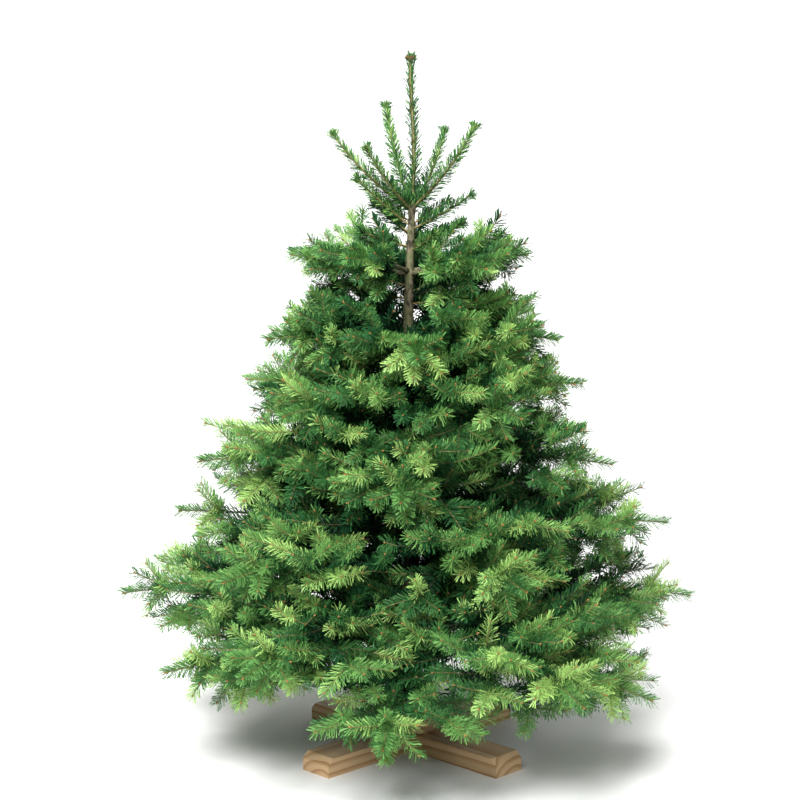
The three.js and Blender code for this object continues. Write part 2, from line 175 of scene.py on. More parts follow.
# The small boughs on the trunk between the whorls. counts: how many there are under each whorl.
TRUNK_TWIG = {
    "counts": (0, 0, 11, 15, 15, 12, 12, 11),
    "years": (5, 3),  # the most that every other one has grown, and the years of the rest
    "year": 0.082,
    "turn": 137.5,
    "whorl_turn": 60,
    "moved": 80,  # how far one that would stand before the bare trunk is moved round it
    "rise": (-8, 24),
    "reach": 0.75,  # of the whorl's length
    "above": 0.03,
}

# Two boughs between each pair of the lowest whorl's own, one above the other.
LESSER_BOUGH = {
    "shares": (0.38, 0.62),  # of the way from one bough to the next
    "heights": (0.290, 0.236),
    "rises": (-3, -11),
    "orders": (0, 1),
    "bare": 0.09,
    "years": 4,
    "year": 0.108,
    "reach": 0.9,
    "above": 0.06,
}

# The upswept shoots of the youngest whorl, and the small ones on the trunk under them.
UPSWEPT = {
    "span": (0.02, 0.985),
    "rings": 12,
    "thicker": 1.1,
    "tints": (2.2, 1.1),
    "tuft": 0.012,
    "bud": 0.0085,
    "side_buds": 5,
}
TRUNK_SHOOT = {
    "curve": 0.12,
    "rings": 7,
    "radii": (0.0026, 0.0018),
    "needle": 0.025,
    "tint": 1.4,
    "tint_step": 0.5,
    "tuft": 0.01,
    "bud": 0.005,
    "side_buds": 2,
}

# z, azimuth, length and rise of each
TRUNK_SHOOTS = [
    (1.195, 186, 0.150, 36),
    (1.188, 352, 0.148, 24),
    (1.180, 150, 0.110, 28),
    (1.172, 120, 0.120, 25),
    (1.160, 30, 0.130, 12),
    (1.150, 205, 0.120, 10),
    (1.142, 310, 0.085, 18),
    (1.135, 80, 0.120, 8),
    (1.212, 95, 0.105, 30),
    (1.206, 160, 0.095, 26),
    (1.200, 20, 0.095, 24),
    (1.165, 70, 0.130, 20),
    (1.148, 165, 0.120, 14),
    (1.152, 345, 0.125, 16),
    (1.062, 165, 0.140, 12),
    (1.050, 15, 0.140, 10),
    (1.046, 100, 0.140, 14),
    (1.034, 205, 0.150, 6),
    (1.028, 60, 0.150, 8),
    (1.022, 340, 0.140, 5),
    (1.016, 135, 0.150, 6),
]

LEADER = {
    "rings": 14,
    "sway": 0.004,
    "sunk": 0.002,  # into the trunk's top
    "bud_room": 0.009,
    "radii": (0.0055, 0.0042),
    "needles": (0.031, 0.026),
    "tint": 2.2,
    "crown": (-0.016, 0.002),  # where the short needles round its buds stand, from its tip
    "crown_needle": 0.020,
    "crown_tint": 2.0,
}

# One bud on the leader's tip, a ring of them round it, and three at each of some heights below.
LEADER_BUDS = {
    "top": 0.0125,
    "top_sunk": 0.006,
    "ring": 7,
    "ring_size": 0.0115,
    "ring_turn": 12,
    "ring_rise": 30,
    "ring_out": 0.004,
    "ring_sunk": (0.004, 0.007),
    "side_shares": (0.24, 0.42, 0.63, 0.82),
    "side": 3,
    "side_size": 0.0085,
    "side_turn": 3.3,
    "side_rise": 35,
    "side_out": 0.003,
    "side_apart": 0.006,
}

# Bark in relief. ridges: how many there are to a metre, about.
TRUNK_BARK = {
    "upright": 0.002,  # the first stretch over the cut stands upright
    "rings": 300,
    "smooth_foot": 0.08,  # height over the cut up to which it grows rougher
    "smoothest": 0.12,
    "rough": 1.4,
    "ridges": 150.0,
}
BOUGH_BARK = {"sides": 9, "relief": 0.6, "ridges": 260.0}
LIMBED_WHORLS = (6, 7)  # the whorls whose bare boughs are solids of their own

NEEDLE = {
    "length": 0.028,
    "width": 0.0022,
    "spacing": 0.0007,
    "shortest": 0.72,  # length on the weakest shoots over full length
    "strong_shoot": 0.06,  # a year's growth with needles of full length
}
TOP_NEEDLE = {
    "length": 0.032,
    "tip_length": 0.023,
    "tuft_length": 0.023,
    "tuft_tint": 1.6,
    "width": 0.0025,
}

# How needles lie: degrees from the shoot, away from its tip and at it, then how far they stray from
# that and from their shoot's tint. The last three are for needles that stand out all round.
NEEDLE_LAY = {
    "lean": 68,
    "tip_lean": 46,
    "forward": 20,
    "upsweep": 0.15,
    "disorder": 0.12,
    "roll": 0.6,
    "tint_spread": 0.35,
}
UPSWEPT_LAY = {"lean": 53, "tip_lean": 31, "disorder": 0.2, "tint_spread": 1.5, "spacing": 0.0004}
TUFT_LAY = {"lean": 44, "tip_lean": 66, "disorder": 0.3, "tint_spread": 1.5, "spacing": 0.0004}
LEADER_LAY = {"lean": 40, "tip_lean": 36, "disorder": 0.25, "tint_spread": 1.2, "spacing": 0.0005}

# Needles on the whorls round the bare trunk, over the usual ones.
FULLER = {"spacing": 0.78, "width": 1.1}

# A shoot's place among the needle tints, from 0, the brightest.
SHOOT_TINT = {
    "by_age": (0.6, 2.1, 2.9, 3.6),
    "per_order": 0.2,
    "spread": 1.15,
    "upper_whorls": 3,
    "per_upper_whorl": 0.05,
    # shade_from and shade darken the shoots deep in the crown as painted shade.
    "shade_from": 0.8,  # of the whorl's length, inside which it is darker
    "shade": 1.5,
}

# How much further apart a shoot's needles stand with age and in the shade, where they are broader too.
THINNING = {"by_age": (1, 1, 1.15, 1.4, 1.6), "shade_tint": 2.2, "shade": 2.1}


def hides_trunk(w, point):
    """Whether a point lies before the stretch of trunk that shows."""
    centre = trunk_centre(point[2])
    return (
        w in OPEN_FRONT["whorls"]
        and point[2] > OPEN_FRONT["from"]
        and point[1] < centre[1]
        and abs(point[0] - centre[0]) < OPEN_FRONT["half_width"]
    )


def chance(a, b, c, d):
    """The same number between 0 and 1 each time for the same four whole numbers."""
    s = math.sin(a * 127.1 + b * 311.7 + c * 74.7 + d * 269.5) * 43758.5453
    return s - math.floor(s)


def spread(amount, *key):
    """A number within amount of nothing, either way."""
    return (2 * chance(*key) - 1) * amount


def mix(low, high, share):
    """What lies at a share of the way from low to high."""
    return low + (high - low) * share


def unit(vector):
    """The same direction with length 1."""
    return vector / np.linalg.norm(vector)


def pointing(azimuth, rise):
    """The direction at an azimuth from +X and an angle above level, in degrees."""
    turn, lift = math.radians(azimuth), math.radians(rise)
    return np.array([math.cos(lift) * math.cos(turn), math.cos(lift) * math.sin(turn), math.sin(lift)])


def trunk_centre(z):
    """The middle of the trunk at a height."""
    t = min(max((z - TRUNK_FOOT) / (TRUNK_TOP - TRUNK_FOOT), 0), 1)
    sway_x, sway_y = TRUNK["sway"]
    return np.array([sway_x * math.sin(math.pi * t**1.8), sway_y * math.sin(2 * math.pi * t), z])


def trunk_radius(z):
    """The trunk's radius at a height, between its whorls."""
    t = min(max((TRUNK_TOP - z) / (TRUNK_TOP - TRUNK_FOOT), 0), 1)
    flare = TRUNK["flare"] * math.exp(-(z - TRUNK_FOOT) / TRUNK["flare_height"])
    return mix(TRUNK["top_radius"], TRUNK["foot_radius"], t ** TRUNK["taper"]) + flare


def tilt_at(azimuth):
    """Degrees that a bough at an azimuth rises above its whorl's own angle."""
    return BOUGH["tilt"] * math.sin(math.radians(2 * azimuth + BOUGH["tilt_turn"]))


def bough_line(w, k, jitter):
    """Points, directions and radii of one bough at equal steps. With jitter 0, the whorl's typical one."""
    whorl = WHORLS[w]
    azimuth = whorl["turn"] + 360 / whorl["boughs"] * k + jitter * spread(BOUGH["turn_spread"], w, k, 1, 0)
    length = whorl["length"] * (1 + jitter * spread(BOUGH["length_spread"], w, k, 2, 0))
    lifted = jitter * spread(BOUGH["rise_spread"], w, k, 3, 0)
    tilt = jitter * tilt_at(azimuth)
    if "shoots" in whorl and jitter:
        azimuth, length, mean_rise = whorl["shoots"][k]
        lifted = mean_rise - sum(whorl["rise"]) / 2
        tilt = 0
    root = trunk_centre(whorl["z"] + jitter * spread(BOUGH["height_spread"], w, k, 4, 0))
    drift = jitter * spread(BOUGH["drift_spread"], w, k, 5, 0)
    step = (length + trunk_radius(root[2]) * BOUGH["rooted"]) / BOUGH["steps"]
    shares = np.linspace(0, 1, BOUGH["steps"] + 1)
    directions = np.array([
        pointing(azimuth + drift * (t - 0.5), mix(*whorl["rise"], t) + lifted + tilt) for t in shares
    ])
    points = root + np.vstack([np.zeros(3), np.cumsum(directions[:-1] * step, axis=0)])
    radii = whorl["radius"] * mix(1, BOUGH["tip_share"], shares)
    return dict(azimuth=azimuth, length=length, points=points, directions=directions, radii=radii)


def at(line, t):
    """Point, direction and radius at a share t of a line's length."""
    shares = np.linspace(0, 1, len(line["points"]))
    point = np.array([np.interp(t, shares, line["points"][:, i]) for i in range(3)])
    direction = np.array([np.interp(t, shares, line["directions"][:, i]) for i in range(3)])
    return point, unit(direction), float(np.interp(t, shares, line["radii"]))


def typical_heights():
    """For each whorl, its typical bough as distances from the trunk and heights."""
    found = []
    for w in range(len(WHORLS)):
        points = bough_line(w, 0, 0)["points"]
        found.append((np.hypot(*(points - points[0])[:, :2].T), points[:, 2]))
    return found


TYPICAL = typical_heights()


def typical_height(w, distance):
    """Height of a whorl's typical bough at a distance from the trunk, carried on past its tip."""
    reach, heights = TYPICAL[w]
    if distance <= reach[-1]:
        return float(np.interp(distance, reach, heights))
    slope = (heights[-1] - heights[-2]) / (reach[-1] - reach[-2])
    return float(heights[-1] + slope * (distance - reach[-1]))


def turned(degrees):
    """The same angle, from -180 to 180."""
    return (degrees + 180) % 360 - 180


def space_of(w, k):
    """Whether a point is in a bough's own space: a wedge round the trunk, halfway to its neighbours."""
    room = TWIG["room"]
    boughs = WHORLS[w]["boughs"]
    own = bough_line(w, k, 1)["azimuth"]
    left = turned(bough_line(w, (k + 1) % boughs, 1)["azimuth"] - own) / 2
    right = turned(bough_line(w, (k - 1) % boughs, 1)["azimuth"] - own) / 2

    def inside(point):
        centre = trunk_centre(point[2])
        distance = math.hypot(point[0] - centre[0], point[1] - centre[1])
        azimuth = math.degrees(math.atan2(point[1] - centre[1], point[0] - centre[0]))
        off = turned(azimuth - own)
        side = min(left - off, off - right)
        if distance * math.sin(math.radians(max(min(side, 90), -90))) < -room or hides_trunk(w, point):
            return False
        tilted = distance * math.tan(math.radians(tilt_at(azimuth)))
        here = typical_height(w, distance)
        if w > 0 and point[2] > (typical_height(w - 1, distance) + here) / 2 + tilted + room:
            return False
        if w == len(WHORLS) - 1:
            return point[2] > FLOOR_ROOM
        return point[2] > (typical_height(w + 1, distance) + here) / 2 + tilted - room

    return inside


def space_round_trunk(w, reach, top):
    """Whether a point is near enough to the trunk for a whorl's minor boughs, and under a height."""

    def inside(point):
        centre = trunk_centre(point[2])
        distance = math.hypot(point[0] - centre[0], point[1] - centre[1])
        return distance < reach and FLOOR_ROOM < point[2] < top and not hides_trunk(w, point)

    return inside


def branched(along, angle, side, lift):
    """A direction that leaves another by an angle, to one side and lifted out of its plane."""
    across = unit(np.cross(along, UP)) * side
    over = np.cross(across, along) * side
    lift, angle = math.radians(lift), math.radians(angle)
    out = across * math.cos(lift) + over * math.sin(lift)
    return along * math.cos(angle) + out * math.sin(angle)


# ---- The grown tree ----------------------------------------------------------------------------


class Growth:
    """Everything that has grown in one whorl: woody lines, needled shoots and buds."""

    def __init__(self):
        self.limbs = []  # thick lines with bark: points and radii
        self.twigs = []  # thin lines: points, radii and tint
        self.shoots = []  # one year's growth each: points, then needle length, spacing, width and tint
        self.tufts = []  # the same, for the flared needles round a strong bud
        self.buds = []  # place, direction and size


def of_age(values, age):
    """The value for an age in years, whose last one holds for all older growth."""
    return values[min(age, len(values)) - 1]


def needle_tint(age, order, root, w, *key):
    """A shoot's place among the needle tints. It darkens with age and to the top, and inwards as painted
    shade.
    """
    usual = of_age(SHOOT_TINT["by_age"], age) + SHOOT_TINT["per_order"] * order
    usual += spread(SHOOT_TINT["spread"], w, *key)
    usual += SHOOT_TINT["per_upper_whorl"] * max(SHOOT_TINT["upper_whorls"] - w, 0)
    centre = trunk_centre(root[2])
    out = math.hypot(root[0] - centre[0], root[1] - centre[1]) / WHORLS[w]["length"]
    return usual + max(0, SHOOT_TINT["shade_from"] - out) * SHOOT_TINT["shade"]


def bark_tint(age):
    """Which of the twig tints a year's growth takes: this year's, last year's or older."""
    return min(age, 3) - 1


def add_shoot(growth, points, length, age, tint, fullness=1):
    """One year's needles, fewer with age, and fewer and broader the darker their tint, as deep in the
    crown, where the tint holds painted shade.
    """
    shaded = min(max(np.mean(tint) - THINNING["shade_tint"], 0), 1)
    broader = mix(1, THINNING["shade"], shaded)
    apart = of_age(THINNING["by_age"], age) * broader / fullness
    growth.shoots.append((points, length, apart, broader, tint))


def add_buds(growth, tip, direction, size, side_buds, *key):
    """One bud at a tip, with smaller ones round it."""
    growth.buds.append((tip, direction, size))
    for i in range(side_buds):
        turn = 2 * math.pi * (i / side_buds + chance(*key))
        across = unit(np.cross(direction, UP + 1e-3))
        over = np.cross(across, direction)
        out = across * math.cos(turn) + over * math.sin(turn)
        foot = tip - direction * size * SIDE_BUDS["below"]
        growth.buds.append((foot, unit(direction + SIDE_BUDS["out"] * out), size * SIDE_BUDS["share"]))


def grow_twig(growth, inside, start, heading, years, year, order, key):
    """A twig of so many years, with the younger twigs that leave it at the end of each year."""
    w, k, counter = key
    counter[0] += 1
    serial = counter[0]
    points, steps = [start], TWIG["steps"]
    for age in range(years, 0, -1):
        reach = year * (1 + spread(TWIG["year_spread"], w, k, serial, age)) / steps
        shoot = [points[-1]]
        for i in range(steps):
            sway = np.array([spread(1, w, k, serial, 10 * age + 3 * i + j) for j in range(3)])
            heading = unit(heading + TWIG["wander"] * sway + TWIG["to_light"] * UP)
            ahead = shoot[-1] + heading * reach
            if not inside(ahead):
                break
            shoot.append(ahead)
        if len(shoot) < 2:
            break
        strength = min(year * len(shoot) / steps / NEEDLE["strong_shoot"], 1)
        length = NEEDLE["length"] * mix(NEEDLE["shortest"], 1, strength)
        add_shoot(growth, np.array(shoot), length, age, needle_tint(age, order, start, w, k, serial, 40))
        radii = TWIG["radius"] + TWIG["radius_per_year"] * np.linspace(age, age - 1, len(shoot))
        growth.twigs.append((np.array(shoot), radii, bark_tint(age)))
        points += shoot[1:]
        if len(shoot) <= steps:
            break
        if age == 1 or order >= TWIG["orders"]:
            continue
        younger = year * TWIG["year_share"]
        if younger < TWIG["shortest_year"]:
            continue
        for side in (-1, 1):
            lift = spread(TWIG["side_lift"], w, k, serial, 60 + side + 3 * age)
            out = branched(heading, TWIG["branching"], side, lift)
            grow_twig(growth, inside, points[-1], out, age - 1, younger, order + 1, key)
        if chance(w, k, serial, 50 + age) < TWIG["upright_chance"]:
            lift = spread(TWIG["upright_turn"], w, k, serial, 70 + age) + 90
            out = branched(heading, TWIG["upright_lean"], 1, lift)
            grow_twig(growth, inside, points[-1], out, 1, younger, order + 1, key)
    if len(points) > 1:
        size = mix(*TWIG["buds"], min(year / TWIG["strong_year"], 1))
        add_buds(growth, points[-1], heading, size, 2 if order == 1 else 0, w, k, serial, 80)


def lay_bough(growth, line, along):
    """A bough's own wood: bark up to its last years' growth, and thin wood from there to its tip."""
    years = BOUGH_END["years"]
    radii = (at(line, along(years))[2] * BOUGH_END["joint"], *BOUGH_END["radii"])
    for age in range(1, years + 1):
        points = [at(line, t)[0] for t in np.linspace(along(age), along(age - 1), 5)]
        thickness = np.linspace(radii[years - age], radii[years + 1 - age], 5)
        growth.twigs.append((np.array(points), thickness, bark_tint(age)))
    thicker, over = BOUGH_END["collar"]
    shares = np.linspace(0, along(years), BOUGH_END["rings"])
    swell = 1 + thicker * np.exp(-shares * line["length"] / over)
    places = [at(line, t) for t in shares]
    growth.limbs.append((np.array([place[0] for place in places]), swell * [place[2] for place in places]))


def grow_node(growth, inside, line, share, age, oldest, key):
    """The twigs at a node of a bough: two pairs, one below, and one above from the third whorl on."""
    w, k, _ = key
    year = WHORLS[w]["year"]
    node, heading, _ = at(line, share)
    for side in (-1, 1):
        lifts = TWIG["raised"] if (age + k + (side + 1) // 2) % 2 == 0 else TWIG["lowered"]
        lift = mix(*lifts, chance(w, k, age, side + 7))
        angle = TWIG["branching"] if age <= TWIG["young"] else TWIG["old_branching"]
        out = branched(heading, angle, side, lift)
        grow_twig(growth, inside, node, out, age, year * TWIG["year_share"], 1, key)
        if age == oldest:
            out = branched(heading, TWIG["fork"], side, lift * TWIG["turned_back"])
            grow_twig(growth, inside, node, out, age, year * TWIG["fork_share"], 1, key)
        else:
            out = branched(heading, angle + TWIG["wider"], side, lift * TWIG["turned_back"])
            grow_twig(growth, inside, node, out, max(age - 1, 1), year * TWIG["upright_share"], 1, key)
    for lift in (90, -90) if w > 1 else (-90,):
        out = branched(heading, TWIG["upright_lean"], 1, lift)
        years = min(age, TWIG["young"])
        grow_twig(growth, inside, node, out, years, year * TWIG["upright_share"], 1, key)


def grow_between(growth, inside, line, share, age, key):
    """The minor twigs that leave a bough between two nodes."""
    w, k, _ = key
    start, heading, _ = at(line, share)
    for i in range(TWIG["between"]):
        if chance(w, k, age, 90 + i) < TWIG["between_chance"]:
            lift = spread(TWIG["between_lift"], w, k, age, 94 + i)
            out = branched(heading, TWIG["between_branching"], 1 if i == 1 else -1, lift)
            years = min(age, TWIG["young"])
            year = WHORLS[w]["year"] * TWIG["between_share"]
            grow_twig(growth, inside, start, out, years, year, 2, key)


def grow_bough(growth, w, k):
    """A bough along the solid's own line, with needles, buds, and twigs at each node and between."""
    whorl = WHORLS[w]
    line = bough_line(w, k, 1)
    inside = space_of(w, k)
    key = (w, k, [0])
    length = line["length"]
    held_back = NEEDLE["length"] * BOUGH_END["held_back"] / length

    def along(age):
        """The share of the bough's length where growth of an age starts."""
        return 1 - held_back - age * whorl["year"] / length

    oldest = int((1 - held_back - whorl["bare"] - BOUGH_END["bare_room"]) * length / whorl["year"])
    lay_bough(growth, line, along)
    for age in range(1, min(oldest, BOUGH_END["needled_years"]) + 1):
        stretch = [at(line, t)[0] for t in np.linspace(along(age), along(age - 1), 5)]
        tint = max(needle_tint(age, 0, stretch[0], w, k, age, 41), BOUGH_END["brightest"])
        fullness = of_age(BOUGH_END["fullness"], age)
        add_shoot(growth, np.array(stretch), NEEDLE["length"], age, tint, fullness)
    tip, heading, _ = at(line, along(0))
    add_buds(growth, tip, heading, BOUGH_END["bud"], BOUGH_END["side_buds"], w, k, 0, 81)
    for age in range(1, oldest + 1):
        grow_node(growth, inside, line, along(age), age, oldest, key)
        grow_between(growth, inside, line, along(age + 0.5), age, key)


def add_tuft(growth, tip, direction, height):
    """The crown of short needles that stand out round the buds at a strong shoot's tip."""
    points = tip + direction * np.linspace(-height, 0.1 * height, 3)[:, None]
    growth.tufts.append((points, TOP_NEEDLE["tuft_length"], 1, 1, TOP_NEEDLE["tuft_tint"]))


def grow_shoot(growth, k):
    """One of the upswept shoots of the youngest whorl: a single year's growth, needled all round."""
    line = bough_line(0, k, 1)
    rings = UPSWEPT["rings"]
    places = [at(line, t) for t in np.linspace(*UPSWEPT["span"], rings)]
    points = np.array([place[0] for place in places])
    growth.twigs.append((points, np.array([place[2] for place in places]) * UPSWEPT["thicker"], 0))
    lengths = np.linspace(TOP_NEEDLE["length"], TOP_NEEDLE["tip_length"], rings)
    add_shoot(growth, points, lengths, 1, np.linspace(*UPSWEPT["tints"], rings))
    tip, heading, _ = places[-1]
    add_tuft(growth, tip, heading, UPSWEPT["tuft"])
    add_buds(growth, tip, heading, UPSWEPT["bud"], UPSWEPT["side_buds"], 0, k, 1, 1)


def grow_trunk_twigs(growth, w):
    """The small boughs that leave the trunk between one whorl and the whorl above it."""
    low, high = WHORLS[w]["z"], WHORLS[w - 1]["z"]
    inside = space_round_trunk(w, TRUNK_TWIG["reach"] * WHORLS[w]["length"], high + TRUNK_TWIG["above"])
    count = TRUNK_TWIG["counts"][w]
    most_years, other_years = TRUNK_TWIG["years"]
    for i in range(count):
        years = min(w + 1, most_years) if i % 2 == 0 else other_years
        height = mix(low, high, (i + chance(w, i, 5, 5)) / count)
        azimuth = TRUNK_TWIG["turn"] * i + TRUNK_TWIG["whorl_turn"] * w
        off_front = abs(turned(azimuth - OPEN_FRONT["azimuth"]))
        if w in OPEN_FRONT["whorls"] and off_front < OPEN_FRONT["cleared"]:
            azimuth += TRUNK_TWIG["moved"]
        heading = pointing(azimuth, mix(*TRUNK_TWIG["rise"], chance(w, i, 5, 6)))
        key = (w, 20 + i, [0])
        grow_twig(growth, inside, trunk_centre(height), heading, years, TRUNK_TWIG["year"], 0, key)


def grow_lesser_boughs(growth, w):
    """The lesser boughs of the lowest whorl, two between each pair of its own, one above the other."""
    whorl = WHORLS[w]
    top = WHORLS[w - 1]["z"] + LESSER_BOUGH["above"]
    inside = space_round_trunk(w, LESSER_BOUGH["reach"] * whorl["length"], top)
    years, year = LESSER_BOUGH["years"], LESSER_BOUGH["year"]
    for i in range(2 * whorl["boughs"]):
        azimuth = whorl["turn"] + 360 / whorl["boughs"] * (i // 2 + LESSER_BOUGH["shares"][i % 2])
        heading = pointing(azimuth, LESSER_BOUGH["rises"][i % 2])
        start = trunk_centre(LESSER_BOUGH["heights"][i % 2]) + heading * LESSER_BOUGH["bare"]
        order, key = LESSER_BOUGH["orders"][i % 2], (w, 50 + i, [0])
        grow_twig(growth, inside, start, heading, years, year, order, key)


def grow_trunk_shoots(growth):
    """The small shoots that leave the trunk between its upper whorls."""
    rings = TRUNK_SHOOT["rings"]
    needles = np.linspace(TRUNK_SHOOT["needle"], TOP_NEEDLE["tip_length"], rings - 1)
    for i, (z, azimuth, length, rise) in enumerate(TRUNK_SHOOTS):
        heading = pointing(azimuth, rise)
        start = trunk_centre(z)
        bend = UP * TRUNK_SHOOT["curve"] * length
        points = np.array([start + heading * length * t + bend * t * t for t in np.linspace(0, 1, rings)])
        growth.twigs.append((points, np.linspace(*TRUNK_SHOOT["radii"], rings), 0))
        tint = TRUNK_SHOOT["tint"] + TRUNK_SHOOT["tint_step"] * (i % 3)
        add_shoot(growth, points[1:], needles, 1, tint)
        add_tuft(growth, points[-1], heading, TRUNK_SHOOT["tuft"])
        add_buds(growth, points[-1], heading, TRUNK_SHOOT["bud"], TRUNK_SHOOT["side_buds"], 0, i, 1, 2)


def leader_line():
    """Points up the leader, from the trunk's top to just under its buds."""
    root = trunk_centre(TRUNK_TOP)
    shares = np.linspace(0, 1, LEADER["rings"])
    lean = LEADER["sway"] * np.sin(5 * shares)
    heights = mix(TRUNK_TOP - LEADER["sunk"], LEADER_TIP - LEADER["bud_room"], shares)
    return np.column_stack([root[0] + lean, np.full(LEADER["rings"], root[1]), heights])


def leader_buds():
    """Place, direction and size of each of the leader's buds."""
    stem = leader_line()
    buds = [(stem[-1] - LEADER_BUDS["top_sunk"] * UP, UP, LEADER_BUDS["top"])]
    for i in range(LEADER_BUDS["ring"]):
        out = pointing(360 * i / LEADER_BUDS["ring"] + LEADER_BUDS["ring_turn"], LEADER_BUDS["ring_rise"])
        foot = stem[-1] - LEADER_BUDS["ring_sunk"][i % 2] * UP + LEADER_BUDS["ring_out"] * out
        buds.append((foot, out, LEADER_BUDS["ring_size"]))
    shares = np.linspace(0, 1, len(stem))
    for share in LEADER_BUDS["side_shares"]:
        node = np.array([np.interp(share, shares, stem[:, i]) for i in range(3)])
        for i in range(LEADER_BUDS["side"]):
            turn = 360 * (share * LEADER_BUDS["side_turn"] + i / LEADER_BUDS["side"])
            out = pointing(turn, LEADER_BUDS["side_rise"])
            foot = node + LEADER_BUDS["side_out"] * out + LEADER_BUDS["side_apart"] * (i - 1) * UP
            buds.append((foot, out, LEADER_BUDS["side_size"]))
    return buds


def trunk_bark_line():
    """Points, radii and roughness up the trunk's bark, smoother by the cut and where it is thin."""
    first = TRUNK_FOOT + TRUNK_BARK["upright"]
    rest = np.linspace(TRUNK_FOOT + 3 * TRUNK_BARK["upright"], TRUNK_TOP, TRUNK_BARK["rings"])
    heights = np.array([TRUNK_FOOT, first, *rest])
    centres = np.array([trunk_centre(z) for z in heights])
    centres[1, :2] = centres[0, :2]
    radii = np.array([trunk_radius(z) for z in heights])
    for whorl in WHORLS:
        radii += TRUNK["swelling"] * np.exp(-((heights - whorl["z"]) / TRUNK["swelling_height"]) ** 2)
    rough = np.clip((heights - TRUNK_FOOT) / TRUNK_BARK["smooth_foot"], TRUNK_BARK["smoothest"], 1)
    return centres, radii, rough * radii / TRUNK["foot_radius"] * TRUNK_BARK["rough"]


# ---- Sizes and colours that a user would change ------------------------------------------------

# The darkest tints, needles_deep and needles_shade, also hold the painted shade of shoots deep in the
# crown.
NEEDLE_TINTS = [
    ("needles_tip", (0.325, 0.520, 0.145)),
    ("needles_young", (0.128, 0.295, 0.074)),
    ("needles_green", (0.041, 0.142, 0.038)),
    ("needles_deep", (0.015, 0.077, 0.024)),
    ("needles_shade", (0.005, 0.028, 0.010)),
]
TWIG_TINTS = [
    ("twig_new", (0.245, 0.190, 0.075)),
    ("twig_second_year", (0.075, 0.072, 0.030)),
    ("twig_old", (0.034, 0.031, 0.019)),
    ("twig_leader", (0.230, 0.195, 0.080)),
]
BUD_TINTS = [
    ("bud_side", (0.330, 0.160, 0.052)),
    ("bud_top", (0.130, 0.078, 0.032)),
]
BLOOM = (0.12, 0.14, 0.055)  # green film on the bark
FLECK = (0.36, 0.31, 0.23)  # pale scars on it

# How the grain of each of the stand's parts is turned, in degrees, to run along it.
STAND_GRAIN = {"stand_beam_lower": 45, "stand_beam_upper": 135, "stand_collar": 20}

# The floor runs back and curves up into a wall: its half width, depth, height and the curve's radius.
BACKDROP = {"half": 4.2, "back": 4.0, "rise": 5.0, "bend": 1.5, "steps": 12}

# Square soft lights: place, size and the point that each one faces.
TREE_MIDDLE = (0, 0, 0.7)
LIGHTS = {
    "key_light": ((-1.1, -3.7, 4.0), 2.2, TREE_MIDDLE),
    "fill_light": ((3.2, -3.0, 2.4), 2.6, TREE_MIDDLE),
    "wall_light": ((0, 0.9, 4.6), 3.0, (0, 3.5, 1.2)),
}

CAMERA = {
    "place": (-0.027, -3.75, 1.264),
    "tip": 7.0,  # degrees down
    "focal_pixels": 1666,
    "frame_pixels": 800,
    "sensor": 36,
}


class FirNeedles(bpy.types.PropertyGroup):
    """Sizes and lay of the needles."""

    length: FloatProperty(
        name="Length", description="Length of a full-grown needle",
        default=NEEDLE["length"], min=0.005, max=0.06, unit="LENGTH",
    )
    width: FloatProperty(
        name="Width", description="Width of a needle at its widest",
        default=NEEDLE["width"], min=0.0005, max=0.006, unit="LENGTH",
    )
    spacing: FloatProperty(
        name="Spacing", description="Distance along a shoot from one needle to the next",
        default=NEEDLE["spacing"], min=0.0003, max=0.01, unit="LENGTH",
    )
    lean: FloatProperty(
        name="Lean", description="Angle between a needle and its shoot, away from the tip",
        default=math.radians(NEEDLE_LAY["lean"]), min=0, max=math.pi / 2, subtype="ANGLE",
    )
    tip_lean: FloatProperty(
        name="Lean at the tip", description="The same angle at the tip of a shoot",
        default=math.radians(NEEDLE_LAY["tip_lean"]), min=0, max=math.pi / 2, subtype="ANGLE",
    )
    forward: FloatProperty(
        name="Forward", description="How much further the needles on top of a shoot lean to its tip",
        default=math.radians(NEEDLE_LAY["forward"]), min=0, max=math.pi / 4, subtype="ANGLE",
    )
    upsweep: FloatProperty(
        name="Upsweep", description="How far the needles under a shoot turn up to its sides",
        default=NEEDLE_LAY["upsweep"], min=0, max=1, subtype="FACTOR",
    )


class FirBark(bpy.types.PropertyGroup):
    """Sizes and colours of the bark."""

    relief: FloatProperty(
        name="Relief", description="Height of the bark's ridges on the trunk",
        default=0.0009, min=0, max=0.005, unit="LENGTH",
    )
    trunk_sides: IntProperty(
        name="Sides", description="Faces round the trunk", default=44, min=8, max=128,
    )
    colour: FloatVectorProperty(
        name="Bark", description="Colour of the bark's ridges",
        default=(0.170, 0.148, 0.088), size=3, min=0, max=1, subtype="COLOR",
    )
    hollow_colour: FloatVectorProperty(
        name="Hollows", description="Colour of the bark's cracks and old scars",
        default=(0.036, 0.030, 0.018), size=3, min=0, max=1, subtype="COLOR",
    )


class FirStand(bpy.types.PropertyGroup):
    """Finish of the wooden stand."""

    colour: FloatVectorProperty(
        name="Timber", description="Colour of the early wood",
        default=(0.62, 0.43, 0.245), size=3, min=0, max=1, subtype="COLOR",
    )
    ring_colour: FloatVectorProperty(
        name="Rings", description="Colour of the late wood in each ring",
        default=(0.42, 0.235, 0.105), size=3, min=0, max=1, subtype="COLOR",
    )


class FirStudio(bpy.types.PropertyGroup):
    """The stage round the tree."""

    backdrop: FloatVectorProperty(
        name="Floor", description="Colour of the floor and the backdrop",
        default=(0.86, 0.86, 0.85), size=3, min=0, max=1, subtype="COLOR",
    )
    key_power: FloatProperty(
        name="Key light", description="Power of the main light",
        default=545, min=0, unit="POWER",
    )
    fill_power: FloatProperty(
        name="Fill light", description="Power of the fill light",
        default=50, min=0, unit="POWER",
    )
    wall_power: FloatProperty(
        name="Wall light", description="Power of the light on the backdrop",
        default=190, min=0, unit="POWER",
    )
    ambient: FloatProperty(
        name="Ambient", description="How bright the air is as a light",
        default=0.09, min=0, max=1,
    )


# ---- Node trees --------------------------------------------------------------------------------


